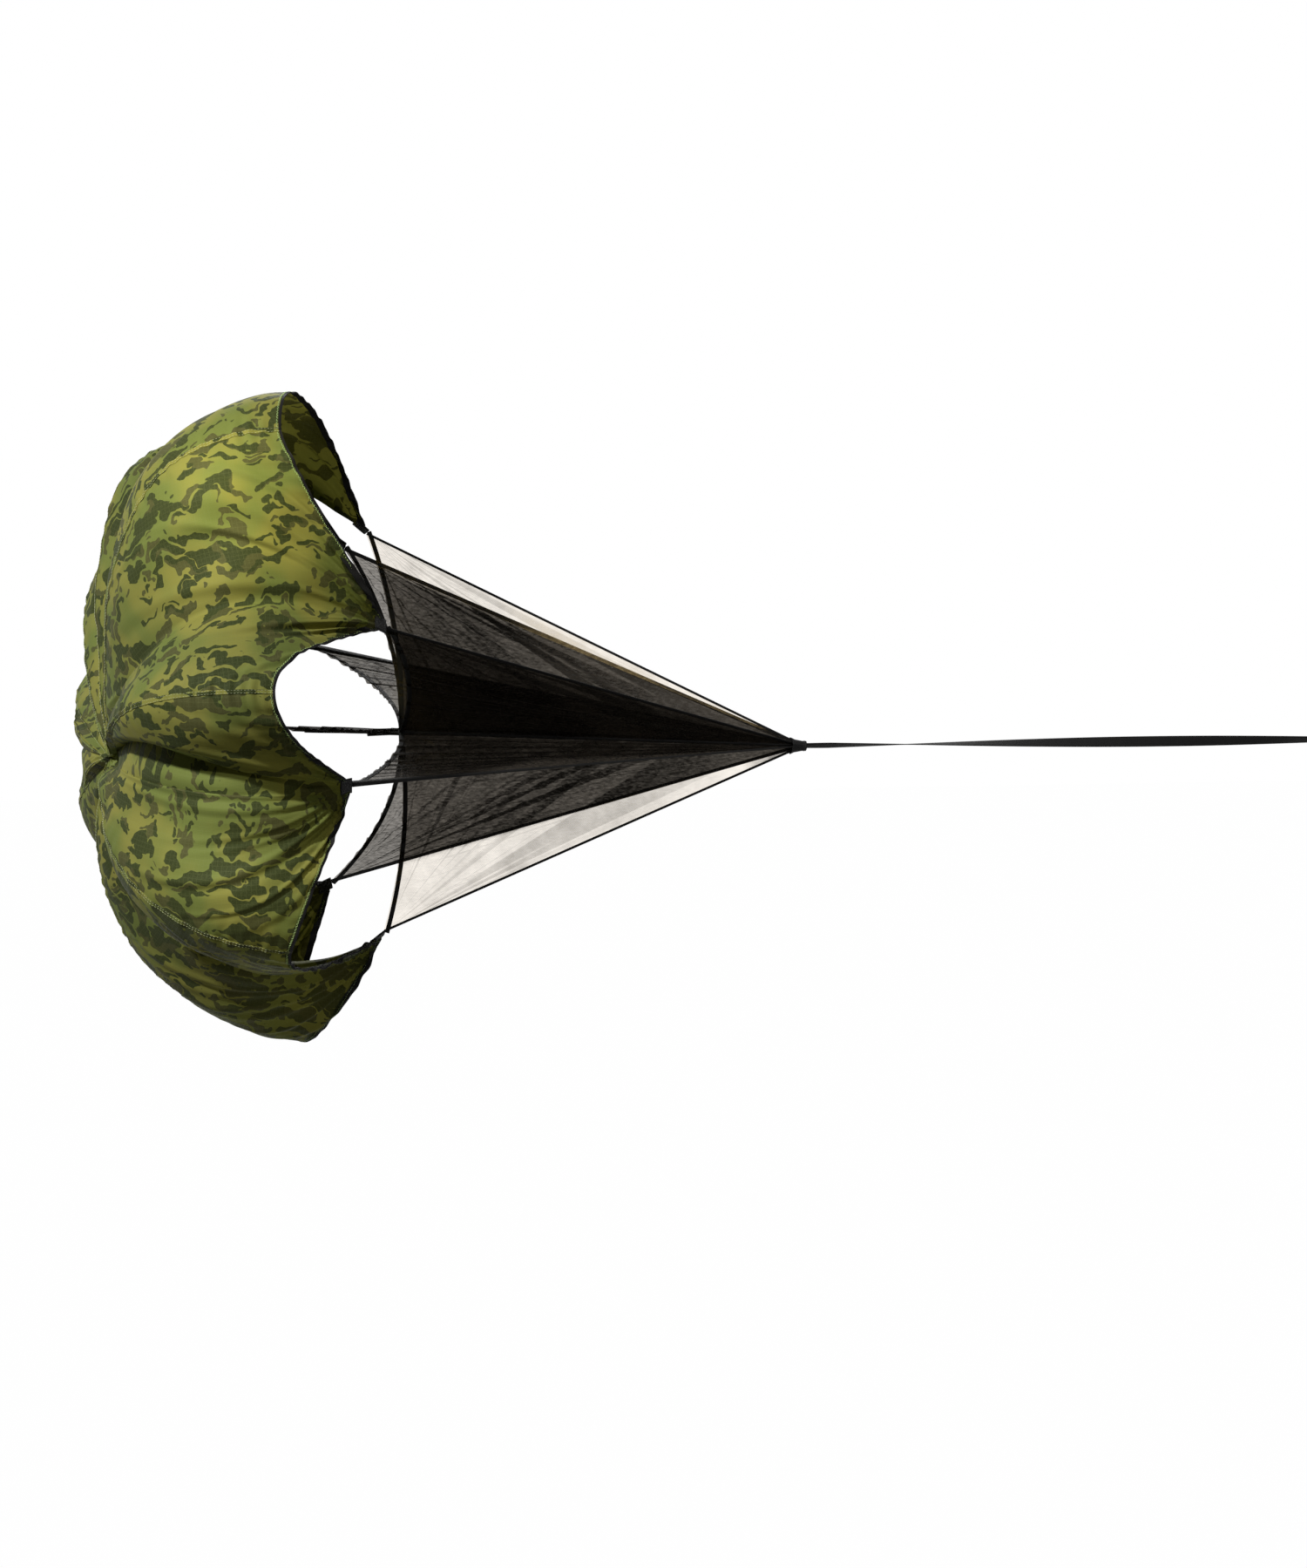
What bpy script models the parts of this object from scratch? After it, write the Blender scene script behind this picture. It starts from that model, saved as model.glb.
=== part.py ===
"""Speed parachute in flight: a tow strap, a cone of eight mesh fins and an eight-gore canopy.

Metres. +X is the way the runner pulls, +Z is up. The origin is the tow point, where a belt's
ring bears on the inside of the snap hook's bow. The canopy trails towards -X.
"""

import math

import bmesh
import bpy
from mathutils import Vector

# Seats and clearances
SEAT_GAP = 0.0003
PIVOT_CLEARANCE = 0.0003
CUT_OVERRUN = 0.002

# Canopy: depths are measured back from the hem point, where the fins meet on the axis
CLOTH = 0.0008
CANOPY_DEPTH = 0.398
CROWN_DIMPLE = 0.012
CROWN_DROP = 0.046
CROWN_PATCH_RADIUS = 0.013
CORNER_RADIUS = 0.28
CORNER_BACK = 0.09
LOBE_RADIUS = 0.43
LOBE_BACK = 0.18
EAR_RISE = 0.14
EAR_RUN = 0.17
EAR_FILL_RISE = 0.035
EAR_FILL_RUN = 0.06
LIP_DRAWN_IN = 0.015
LIP_RUN = 0.145
VALLEY_SHOULDER = 0.20
VALLEY_PROUD = 0.004
RIDGE_SHOULDER = 0.24
RIDGE_PROUD = 0.048
FOLD_DEPTH = 0.005
FOLDS_PER_HALF = 2

# Corners and the lobes between them, angles in degrees from the top towards -Y
CORNER_ANGLES = (-5, 60, 102.5, 162, 219.5, 268.5, 293.5, 331.5)
CORNER_RADIUS_SHARES = (0.95, 1.0, 1.0, 0.98, 1.0, 1.0, 1.0, 1.0)
CORNER_BACK_SHARES = (0.55, 0.83, 1.30, 0.30, 0.54, 1.33, 0.92, 0.63)
VALLEY_SHARES = (0.15, 0.3, 1.0, 0.7, 0.5, 0.6, 0.4, 0.4)
LOBE_ANGLES = (31, 82, 133, 191, 244, 281, 312.5, 343)
LOBE_RADIUS_SHARES = (1.04, 0.93, 0.93, 1.0, 0.97, 0.94, 0.98, 0.98)
LOBE_BACK_SHARES = (1.20, 1.34, 1.05, 0.58, 1.0, 1.15, 1.0, 0.9)
LOBE_FULL_SHARES = (1.3, 1.15, 1.05, 1.1, 1.15, 1.2, 1.32, 1.6)
LOBE_SWELL = 0.05
SWELL_BEFORE_SHARES = (0.3, 0.0, 0.0, 0.0, 0.0, 0.0, 0.0, 0.0)
SWELL_AFTER_SHARES = (1.0, 0.0, 0.2, 0.15, 0.0, 0.0, 0.0, 0.0)
SPREAD_POWER = 0.9
RISE_POWER = 1.15

# Tapes sewn to the canopy
SEAM_WIDTH = 0.009
SEAM_MOST_SHARE = 0.3
HEM_TAPE_WIDTH = 0.006
TAB_LENGTH = 0.021
TAB_WIDTH = 0.019
TAB_THICKNESS = 0.0022

# Cone of mesh fins, measured along the axis from the apex back to the hem point
FIN_HEIGHT = 0.560
FIN_CLOTH = 0.0006
FIN_TAPE_WIDTH = 0.006
FIN_TAPE_THICKNESS = 0.0009
EDGE_SHARES = (0.75, 0.5, 0.25)
FIN_HEM_BOW = 0.03
FIN_BOW_SHARES = (0.45, 0.6, 0.6, 0.45, 0.9, 1.0, 1.15, 0.7)
FIN_BILLOW = 0.004
FIN_TIP_WIDTH = 0.001
SPINE_RADIUS = 0.0028
BUNDLE_RADIUS = 0.0054

# Wrap where the cone is gathered onto the strap
WRAP_WALL = 0.0009
WRAP_BACK = 0.010
WRAP_FRONT = 0.012
CHUTE_PITCH = 2.5

# Tow strap
STRAP_WIDTH = 0.015
STRAP_THICKNESS = 0.0013
STRAP_LENGTH = 0.79
ROOT_WIDTH = 0.0102
ROOT_THICKNESS = 0.0024
ROOT_LENGTH = 0.035
STRAP_START_ANGLE = 50
STRAP_TWIST = 187
TAIL_LENGTH = 0.030
TAIL_SEWN_SHARE = 0.55

# Swivel eye
EYE_BAR_RADIUS = 0.0018
EYE_SIDE_CLEARANCE = 0.0008
EYE_INNER_LENGTH = 0.0085
EYE_CORNER_RADIUS = 0.0026
SHANK_RADIUS = 0.0023
SHANK_SHOWN = 0.0015
HEAD_RADIUS = 0.0038
HEAD_LENGTH = 0.0022
HEAD_PLAY = 0.0004

# Snap hook, its plane upright
HOOK_BAR_RADIUS = 0.0026
HOOK_OPENING = 0.013
HOOK_REACH = 0.034
NOSE_LENGTH = 0.007
BASE_LENGTH = 0.0086
BASE_HALF_WIDTH = 0.0040
BASE_OVER_BAR = 0.0008
BASE_ROUNDING = 0.0008
BARREL_RADIUS = 0.0056
BARREL_LENGTH = 0.0105
BARREL_NECK = 0.005
SLOT_WIDTH = 0.0056
SLOT_DEPTH = 0.0045
SLOT_BACK_WALL = 0.0010
PIVOT_FROM_FRONT = 0.0038
PIN_RADIUS = 0.0012
PIN_PROUD = 0.0004
GATE_HALF_HEIGHT = 0.0019
GATE_HALF_WIDTH = 0.0021
TONGUE_RADIUS = 0.0030
TONGUE_WIDTH = 0.0017
GATE_STANDOFF = 0.0025
NECK_HALF_HEIGHT = 0.0015
SPRING_WIRE = 0.00025
SPRING_TURNS = 2.5
SPRING_PITCH = 0.00095

# Fineness of the solids
GORE_COLUMNS = 10
GORE_ROWS = 11
FIN_ROWS = 6
HEM_STATIONS = 8
ROUND_SIDES = 16
BAR_SIDES = 10
WIRE_SIDES = 6
STRAP_STATIONS = 72
ARC_STEPS = 12
ROUNDING_STEPS = 4
STEPS_PER_TURN = 10
HALVINGS = 30
TINY_SHARE = 0.002
SMOOTH_ANGLE = 35

GORES = 8
HALF_HOOK = HOOK_OPENING / 2 + HOOK_BAR_RADIUS
BASE_FRONT = -HOOK_REACH
BASE_BACK = BASE_FRONT - BASE_LENGTH
BARREL_BACK = BASE_BACK - BARREL_LENGTH
GATE_PIVOT = BASE_FRONT - PIVOT_FROM_FRONT
EYE_FRONT = BARREL_BACK - SHANK_SHOWN - EYE_BAR_RADIUS
EYE_BAR = EYE_FRONT - EYE_INNER_LENGTH - 2 * EYE_BAR_RADIUS
STRAP_END = EYE_BAR - TAIL_LENGTH
APEX = STRAP_END - SEAT_GAP - STRAP_LENGTH
SPINE_SEAT = SPINE_RADIUS + SEAT_GAP
STRAP_INSET = SEAT_GAP + BUNDLE_RADIUS * math.sin(math.radians(CHUTE_PITCH))


def clear_scene():
    for item in list(bpy.data.objects):
        bpy.data.objects.remove(item, do_unlink=True)


def finish(name, colour, roughness, metallic=0.0):
    material = bpy.data.materials.new(name)
    material.use_nodes = True
    shader = material.node_tree.nodes["Principled BSDF"]
    shader.inputs["Base Color"].default_value = (*colour, 1.0)
    shader.inputs["Roughness"].default_value = roughness
    shader.inputs["Metallic"].default_value = metallic
    return material


def add_object(name, bm, material, parent=None, origin=(0, 0, 0), smooth=False):
    bmesh.ops.recalc_face_normals(bm, faces=bm.faces)
    bmesh.ops.translate(bm, verts=bm.verts, vec=-Vector(origin))
    mesh = bpy.data.meshes.new(name)
    bm.to_mesh(mesh)
    bm.free()
    mesh.materials.append(material)
    if smooth:
        mesh.shade_smooth()
        mesh.set_sharp_from_angle(angle=math.radians(SMOOTH_ANGLE))
    item = bpy.data.objects.new(name, mesh)
    item.location = origin
    item.parent = parent
    bpy.context.collection.objects.link(item)
    return item


def add_empty(name, location, rotation):
    item = bpy.data.objects.new(name, None)
    item.location = location
    item.rotation_euler = rotation
    bpy.context.collection.objects.link(item)
    return item


def sheet_between(top, bottom):
    """A closed solid between two grids of points with the same rows and columns."""
    bm = bmesh.new()
    rows, columns = len(top), len(top[0])
    upper = [[bm.verts.new(p) for p in row] for row in top]
    lower = [[bm.verts.new(p) for p in row] for row in bottom]
    for r in range(rows - 1):
        for c in range(columns - 1):
            for layer in (upper, lower):
                bm.faces.new((layer[r][c], layer[r][c + 1], layer[r + 1][c + 1], layer[r + 1][c]))
    rim = [(0, c) for c in range(columns)]
    rim += [(r, columns - 1) for r in range(1, rows)]
    rim += [(rows - 1, c) for c in range(columns - 2, -1, -1)]
    rim += [(r, 0) for r in range(rows - 2, 0, -1)]
    for (r, c), (s, d) in zip(rim, rim[1:] + rim[:1]):
        bm.faces.new((upper[r][c], upper[s][d], lower[s][d], lower[r][c]))
    return bm


def loft(rings, closed=False):
    """A closed solid through rings of points, capped at its ends unless it closes on itself."""
    bm = bmesh.new()
    loops = [[bm.verts.new(p) for p in ring] for ring in rings]
    pairs = list(zip(loops, loops[1:]))
    if closed:
        pairs.append((loops[-1], loops[0]))
    for first, second in pairs:
        for k in range(len(first)):
            n = (k + 1) % len(first)
            bm.faces.new((first[k], first[n], second[n], second[k]))
    if not closed:
        bm.faces.new(loops[0])
        bm.faces.new(loops[-1])
    return bm


def ring_about(centre, across, up, radius, sides):
    points = []
    for k in range(sides):
        turn = 2 * math.pi * (k + 0.5) / sides
        points.append(centre + across * (radius * math.cos(turn)) + up * (radius * math.sin(turn)))
    return points


def bar_along(path, radius, sides, up, closed=False):
    """A round bar that follows a flat path; up is square to the path's plane."""
    rings = []
    for k, point in enumerate(path):
        before = path[k - 1] if closed or k else point
        after = path[(k + 1) % len(path)] if closed or k < len(path) - 1 else point
        ahead = (after - before).normalized()
        rings.append(ring_about(point, ahead.cross(up).normalized(), up, radius, sides))
    return loft(rings, closed)


def turned(profile, sides):
    """A solid of revolution about X from a closed outline of (x, radius) points."""
    rings = []
    for k in range(sides):
        turn = 2 * math.pi * k / sides
        rings.append([Vector((x, r * math.cos(turn), r * math.sin(turn))) for x, r in profile])
    return loft(rings, closed=True)


def cylinder_between(start, end, radius, sides):
    ahead = (end - start).normalized()
    across = ahead.orthogonal().normalized()
    up = ahead.cross(across)
    return loft([ring_about(p, across, up, radius, sides) for p in (start, end)])


def box_between(low, high):
    corners = [(low[0], low[1]), (high[0], low[1]), (high[0], high[1]), (low[0], high[1])]
    return loft([[Vector((x, y, z)) for x, y in corners] for z in (low[2], high[2])])


def cut_or_join(item, bm, operation, parent=None):
    tool = add_object(f"{item.name}_tool_{len(item.modifiers)}", bm, item.active_material, parent)
    tool.hide_render = True
    tool.display_type = "WIRE"
    modifier = item.modifiers.new(operation.lower(), "BOOLEAN")
    modifier.operation = operation
    modifier.solver = "EXACT"
    modifier.object = tool


# Canopy surface

def wrapped(angle, near):
    return near + (angle - near + 180) % 360 - 180


def bezier(points, t):
    s = 1 - t
    shares = (s * s * s, 3 * s * s * t, 3 * s * t * t, t * t * t)
    return (
        sum(share * p[0] for share, p in zip(shares, points)),
        sum(share * p[1] for share, p in zip(shares, points)),
    )


def corner_controls(k):
    radius = CORNER_RADIUS * CORNER_RADIUS_SHARES[k]
    back = CORNER_BACK * CORNER_BACK_SHARES[k]
    shallow = 1 - VALLEY_SHARES[k]
    shoulder = VALLEY_SHOULDER + shallow * (RIDGE_SHOULDER - VALLEY_SHOULDER)
    shoulder_back = CANOPY_DEPTH + VALLEY_PROUD + shallow * (RIDGE_PROUD - VALLEY_PROUD)
    full = (LOBE_FULL_SHARES[k - 1] + LOBE_FULL_SHARES[k]) / 2
    return [
        (0.0, CANOPY_DEPTH - CROWN_DIMPLE),
        (shoulder * full, shoulder_back),
        (radius + EAR_RISE + shallow * EAR_FILL_RISE, back + EAR_RUN + shallow * EAR_FILL_RUN),
        (radius, back),
    ]


def lobe_controls(k):
    radius = LOBE_RADIUS * LOBE_RADIUS_SHARES[k]
    back = LOBE_BACK * LOBE_BACK_SHARES[k]
    run = LIP_RUN * (1 + LOBE_FULL_SHARES[k]) / 2
    return [
        (0.0, CANOPY_DEPTH - CROWN_DIMPLE),
        (RIDGE_SHOULDER * LOBE_FULL_SHARES[k], CANOPY_DEPTH + RIDGE_PROUD),
        (radius - LIP_DRAWN_IN, back + run),
        (radius, back),
    ]


def surface(gore, side, down):
    """A point of the canopy. side runs from seam to seam as -1 to 1, down from crown to hem."""
    lobe = gore if side >= 0 else (gore - 1) % GORES
    swell_shares = SWELL_AFTER_SHARES if side >= 0 else SWELL_BEFORE_SHARES
    away = abs(side)
    rise = math.sin(math.pi / 2 * away**RISE_POWER)
    low = corner_controls(gore)
    high = lobe_controls(lobe)
    controls = [(p[0] + rise * (q[0] - p[0]), p[1] + rise * (q[1] - p[1])) for p, q in zip(low, high)]
    radius, back = bezier(controls, down)
    radius += LOBE_SWELL * swell_shares[gore] * math.sin(math.pi * away) * down**2
    envelope = 27 / 4 * down**2 * (1 - down)
    radius += FOLD_DEPTH * envelope * math.sin(2 * math.pi * FOLDS_PER_HALF * away) * (1 - away)
    corner_angle = CORNER_ANGLES[gore]
    lobe_angle = wrapped(LOBE_ANGLES[lobe], corner_angle)
    angle = math.radians(corner_angle + (lobe_angle - corner_angle) * away**SPREAD_POWER)
    drop = CROWN_DROP * (1 - down) ** 2
    return Vector((-FIN_HEIGHT - back, -radius * math.sin(angle), radius * math.cos(angle) - drop))


def outward(gore, side, down):
    """The canopy's normal at a point, away from the inside of the bowl."""
    ahead = min(1.0, side + TINY_SHARE)
    behind = max(-1.0, side - TINY_SHARE)
    across = surface(gore, ahead, down) - surface(gore, behind, down)
    lower = min(1.0, down + TINY_SHARE)
    along = surface(gore, side, lower) - surface(gore, side, lower - 2 * TINY_SHARE)
    normal = across.cross(along).normalized()
    inside = Vector((-FIN_HEIGHT - LOBE_BACK, 0, 0))
    return normal if normal.dot(surface(gore, side, down) - inside) > 0 else -normal


def corner_point(gore):
    return surface(gore, 0, 1)


def ear_direction(gore):
    return (corner_point(gore) - surface(gore, 0, 1 - TINY_SHARE)).normalized()


def behind_corner(gore, side, down=1):
    return (corner_point(gore) - surface(gore, side, down)).dot(ear_direction(gore))


def hem_trim(gore, side, width):
    """How much of down to give up so that a tape of this width fits along the hem."""
    sign = 1 if side >= 0 else -1
    near = sign * min(abs(side), 1 - TINY_SHARE)
    hem = surface(gore, near + sign * TINY_SHARE, 1) - surface(gore, near, 1)
    meridian = surface(gore, near, 1) - surface(gore, near, 1 - TINY_SHARE)
    speed = meridian.length / TINY_SHARE
    return width / (hem.normalized().cross(meridian.normalized()).length * speed)


def tab_trim(gore, side):
    """How much of down to give up behind the webbing tab, found by halving."""
    low, high = 0.0, 1.0
    for _ in range(HALVINGS):
        middle = (low + high) / 2
        if behind_corner(gore, side, 1 - middle) < TAB_LENGTH + SEAT_GAP:
            low = middle
        else:
            high = middle
    return low


def half_width(gore, side_sign, down):
    return (surface(gore, 0, down) - surface(gore, side_sign, down)).length


def seam_side(gore, side_sign, down):
    """Where the seam tape's edge lies on this gore, as a share of its half width."""
    share = min(SEAM_WIDTH / 2 / half_width(gore, side_sign, down), SEAM_MOST_SHARE)
    return 1 - share


def gore_side(gore, side_sign, down):
    return seam_side(gore, side_sign, down) - SEAT_GAP / half_width(gore, side_sign, down)


def crown_share(extra):
    return (CROWN_PATCH_RADIUS + extra) / (3 * VALLEY_SHOULDER)


def row_share(row):
    """Rows are evenly spaced from the edge of the crown patch to the hem."""
    start = crown_share(SEAT_GAP)
    return start + (1 - start) * row / GORE_ROWS


def down_at(gore, side, row):
    """The row's place down the gore; the last rows make room for the hem tape and the tab."""
    trim = max(hem_trim(gore, side, HEM_TAPE_WIDTH + SEAT_GAP), tab_trim(gore, side))
    start = crown_share(SEAT_GAP)
    return start + (row_share(row) - start) * (1 - trim - start) / (1 - start)


def thick_grid(points, normals, thickness):
    half = thickness / 2
    top = [[p + n * half for p, n in zip(row, turns)] for row, turns in zip(points, normals)]
    bottom = [[p - n * half for p, n in zip(row, turns)] for row, turns in zip(points, normals)]
    return sheet_between(top, bottom)


def gore_sides(gore, row):
    columns = range(-GORE_COLUMNS // 2, GORE_COLUMNS // 2 + 1)
    sides = []
    for c in columns:
        share = 2 * c / GORE_COLUMNS
        sign = 1 if c >= 0 else -1
        sides.append(share * gore_side(gore, sign, row_share(row)))
    return sides


def make_gore(k, material, parent):
    points, normals = [], []
    for row in range(GORE_ROWS + 1):
        places = [(side, down_at(k, side, row)) for side in gore_sides(k, row)]
        points.append([surface(k, side, down) for side, down in places])
        normals.append([outward(k, side, down) for side, down in places])
    add_object(f"canopy_gore_{k + 1}", thick_grid(points, normals, CLOTH), material, parent)


def make_seam(k, material, parent):
    """The lapped and topstitched strip that joins a gore to the next one."""
    after = (k + 1) % GORES
    points, normals = [], []
    for row in range(GORE_ROWS + 1):
        down = down_at(k, 1, row)
        first = (k, seam_side(k, 1, down))
        last = (after, -seam_side(after, -1, down))
        places = [(*first, down), (k, 1, down), (*last, down)]
        points.append([surface(*place) for place in places])
        normals.append([outward(*place) for place in places])
    add_object(f"gore_seam_{k + 1}", thick_grid(points, normals, CLOTH), material, parent)


def under_tab(gore, side):
    """Whether the hem at this place lies within the tab's outline."""
    across = tab_axes(gore)[1]
    aside = abs((surface(gore, side, 1) - corner_point(gore)).dot(across))
    return aside < TAB_WIDTH / 2 + 2 * SEAT_GAP and behind_corner(gore, side) < TAB_LENGTH + 2 * SEAT_GAP


def tape_start(gore, sign):
    """The place on the hem where it leaves the tab, found by halving."""
    low, high = 0.0, 1.0
    for _ in range(HALVINGS):
        middle = (low + high) / 2
        if under_tab(gore, sign * middle):
            low = middle
        else:
            high = middle
    return high


def hem_places(gore, sign):
    start = tape_start(gore, sign)
    last_row = gore_sides(gore, GORE_ROWS)
    sides = [abs(side) for side in last_row if side * sign > 0 and abs(side) > start]
    sides = sorted(sides + [start, seam_side(gore, sign, 1), 1.0])
    return [(gore, sign * side) for side in sides]


def make_hem_tape(k, material, parent):
    after = (k + 1) % GORES
    places = hem_places(k, 1) + hem_places(after, -1)[-2::-1]
    points, normals = [], []
    for gore, side in places:
        inner = 1 - hem_trim(gore, side, HEM_TAPE_WIDTH)
        points.append([surface(gore, side, down) for down in (inner, 1)])
        normals.append([outward(gore, side, down) for down in (inner, 1)])
    add_object(f"hem_binding_{k + 1}", thick_grid(points, normals, CLOTH), material, parent)


def make_crown_patch(material, parent):
    """The doubled cloth where the eight seams meet."""
    down = crown_share(0)
    ring, turns = [], []
    for gore in range(GORES):
        for c in range(-GORE_COLUMNS // 2, GORE_COLUMNS // 2):
            side = 2 * c / GORE_COLUMNS
            ring.append(surface(gore, side, down))
            turns.append(outward(gore, side, down))
    centre = surface(0, 0, 0)
    axis = Vector((-1, 0, 0))
    bm = bmesh.new()
    layers = []
    for sign in (1, -1):
        shift = sign * CLOTH / 2
        loop = [bm.verts.new(p + n * shift) for p, n in zip(ring, turns)]
        layers.append((bm.verts.new(centre + axis * shift), loop))
    for hub, loop in layers:
        for a, b in zip(loop, loop[1:] + loop[:1]):
            bm.faces.new((hub, a, b))
    upper, lower = layers[0][1], layers[1][1]
    for i in range(len(ring)):
        j = (i + 1) % len(ring)
        bm.faces.new((upper[i], upper[j], lower[j], lower[i]))
    add_object("crown_patch", bm, material, parent)


def tab_axes(k):
    """The tab's length, width and thickness directions."""
    ahead = ear_direction(k)
    across = outward(k, 0, 1 - TINY_SHARE).cross(ahead).normalized()
    return ahead, across, ahead.cross(across)


def make_tab(k, material, parent):
    """Folded webbing over the point of the ear, where the fin is sewn on."""
    corner = corner_point(k)
    ahead, across, up = tab_axes(k)
    rings = []
    for distance in (0, TAB_LENGTH):
        middle = corner - ahead * distance
        ring = []
        for u, v in ((-1, -1), (1, -1), (1, 1), (-1, 1)):
            ring.append(middle + across * (u * TAB_WIDTH / 2) + up * (v * TAB_THICKNESS / 2))
        rings.append(ring)
    add_object(f"corner_tab_{k + 1}", loft(rings), material, parent)


# Fins: each is drawn in its own plane as (x, r), with r square to the chute's axis

def meet(p, d, q, e):
    """Where the line through p along d crosses the line through q along e."""
    across = d[0] * e[1] - d[1] * e[0]
    t = ((q[0] - p[0]) * e[1] - (q[1] - p[1]) * e[0]) / across
    return (p[0] + d[0] * t, p[1] + d[1] * t)


def unit(a, b):
    length = math.hypot(b[0] - a[0], b[1] - a[1])
    return ((b[0] - a[0]) / length, (b[1] - a[1]) / length)


def shifted(p, d, distance):
    return (p[0] + d[0] * distance, p[1] + d[1] * distance)


def fin_plan(k):
    """The fin's corner and tip, its edge's direction and the way in from that edge."""
    ear = ear_direction(k)
    lean = abs(fin_axes(k)[1].dot(ear))
    point = corner_point(k) + ear * (SEAT_GAP + FIN_TAPE_THICKNESS / 2 * lean)
    corner = (point.x, math.hypot(point.y, point.z))
    tip = (0.0, BUNDLE_RADIUS)
    edge = unit(corner, tip)
    inward = (edge[1], -edge[0])
    return corner, tip, edge, inward


def fin_axes(k):
    point = corner_point(k)
    radial = Vector((0, point.y, point.z)).normalized()
    return radial, Vector((1, 0, 0)).cross(radial)


def hem_curve(k, t, inset):
    """The fin's hem from its corner, t = 0, to the axis, t = 1, bowed towards the apex."""
    corner = fin_plan(k)[0]
    foot = (-FIN_HEIGHT, SPINE_SEAT)

    def at(s):
        bow = FIN_HEM_BOW * FIN_BOW_SHARES[k] * 4 * s * (1 - s)
        return (corner[0] + (foot[0] - corner[0]) * s + bow, corner[1] + (foot[1] - corner[1]) * s)

    low, high = max(0.0, t - TINY_SHARE), min(1.0, t + TINY_SHARE)
    along = unit(at(low), at(high))
    return shifted(at(t), (-along[1], along[0]), inset), along


def inner_corner(k, inset):
    corner, _, edge, inward = fin_plan(k)
    start, along = hem_curve(k, 0, inset)
    return meet(shifted(corner, inward, inset), edge, start, along)


def fin_tape_pairs(k):
    """Outer and inner points of the tape, from the tip round the corner to the axis."""
    corner, tip, edge, inward = fin_plan(k)
    inner = inner_corner(k, FIN_TAPE_WIDTH)
    landing = meet(inner, edge, (0, SPINE_SEAT), (1, 0))
    above = meet(corner, edge, landing, (0, 1))
    pairs = [(tip, (tip[0], SPINE_SEAT)), (above, landing)]
    for share in EDGE_SHARES:
        out = (corner[0] + (above[0] - corner[0]) * share, corner[1] + (above[1] - corner[1]) * share)
        pairs.append((out, meet(out, inward, inner, edge)))
    pairs.append((corner, inner))
    for i in range(1, HEM_STATIONS):
        t = i / HEM_STATIONS
        pairs.append((hem_curve(k, t, 0)[0], hem_curve(k, t, FIN_TAPE_WIDTH)[0]))
    foot, along = hem_curve(k, 1, 0)
    end = hem_curve(k, 1, FIN_TAPE_WIDTH)[0]
    pairs.append((foot, meet(end, along, (0, SPINE_SEAT), (1, 0))))
    return pairs


def placed(k, point, aside=0.0):
    radial, tangent = fin_axes(k)
    return Vector((point[0], 0, 0)) + radial * point[1] + tangent * aside


def make_fin_tape(k, material, parent):
    half = FIN_TAPE_THICKNESS / 2
    pairs = fin_tape_pairs(k)
    sides = [[[placed(k, p, shift) for p in pair] for pair in pairs] for shift in (half, -half)]
    add_object(f"fin_binding_{k + 1}", sheet_between(*sides), material, parent)


def fin_grid_point(k, s, t):
    """s runs from the hem to the tip, t from the axis to the outer edge."""
    inset = FIN_TAPE_WIDTH + SEAT_GAP
    inner = inner_corner(k, inset)
    edge = fin_plan(k)[2]
    far = meet(inner, edge, (0, SPINE_SEAT + FIN_TIP_WIDTH), (1, 0))
    out = (inner[0] + (far[0] - inner[0]) * s, inner[1] + (far[1] - inner[1]) * s)
    hem_end, along = hem_curve(k, 1, inset)
    near = meet(hem_end, along, (0, SPINE_SEAT), (1, 0))
    axis = (near[0] + (far[0] - near[0]) * s, SPINE_SEAT)
    flat = (axis[0] + (out[0] - axis[0]) * t, axis[1] + (out[1] - axis[1]) * t)
    chord = (near[0] + (inner[0] - near[0]) * t, near[1] + (inner[1] - near[1]) * t)
    hem = hem_curve(k, 1 - t, inset)[0]
    fade = (1 - s) ** 2 if 0 < t < 1 else 0.0
    return (flat[0] + (hem[0] - chord[0]) * fade, flat[1] + (hem[1] - chord[1]) * fade)


def make_fin(k, material, parent):
    sides = []
    for shift in (FIN_CLOTH / 2, -FIN_CLOTH / 2):
        grid = []
        for i in range(FIN_ROWS + 1):
            row = []
            for j in range(HEM_STATIONS + 1):
                s, t = i / FIN_ROWS, j / HEM_STATIONS
                billow = FIN_BILLOW * math.sin(math.pi * t) * math.sin(math.pi * s)
                row.append(placed(k, fin_grid_point(k, s, t), shift + billow))
            grid.append(row)
        sides.append(grid)
    add_object(f"mesh_fin_{k + 1}", sheet_between(*sides), material, parent)


def make_spine(material, parent):
    """The seam where the fins are joined on the axis."""
    bm = cylinder_between(Vector((-FIN_HEIGHT, 0, 0)), Vector((0, 0, 0)), SPINE_RADIUS, BAR_SIDES)
    add_object("fin_spine", bm, material, parent)


def make_wrap(material, parent):
    """A funnel of webbing sewn round the gathered fins and the root of the strap."""
    slope = (CORNER_RADIUS - BUNDLE_RADIUS) / (FIN_HEIGHT + CORNER_BACK * min(CORNER_BACK_SHARES))
    bore = BUNDLE_RADIUS + SEAT_GAP + FIN_TAPE_THICKNESS / 2
    flare = slope * WRAP_BACK
    profile = [
        (-WRAP_BACK, bore + flare),
        (0, bore),
        (WRAP_FRONT, bore),
        (WRAP_FRONT, bore + WRAP_WALL),
        (0, bore + WRAP_WALL),
        (-WRAP_BACK, bore + flare + WRAP_WALL),
    ]
    add_object("apex_wrap", turned(profile, ROUND_SIDES), material, parent, smooth=True)


# Tow strap and the loop sewn at its end

def strap_across(distance):
    """The strap's width direction, which turns steadily along it."""
    turn = math.radians(STRAP_START_ANGLE + STRAP_TWIST * distance / STRAP_LENGTH)
    return Vector((0, -math.sin(turn), math.cos(turn)))


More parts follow.
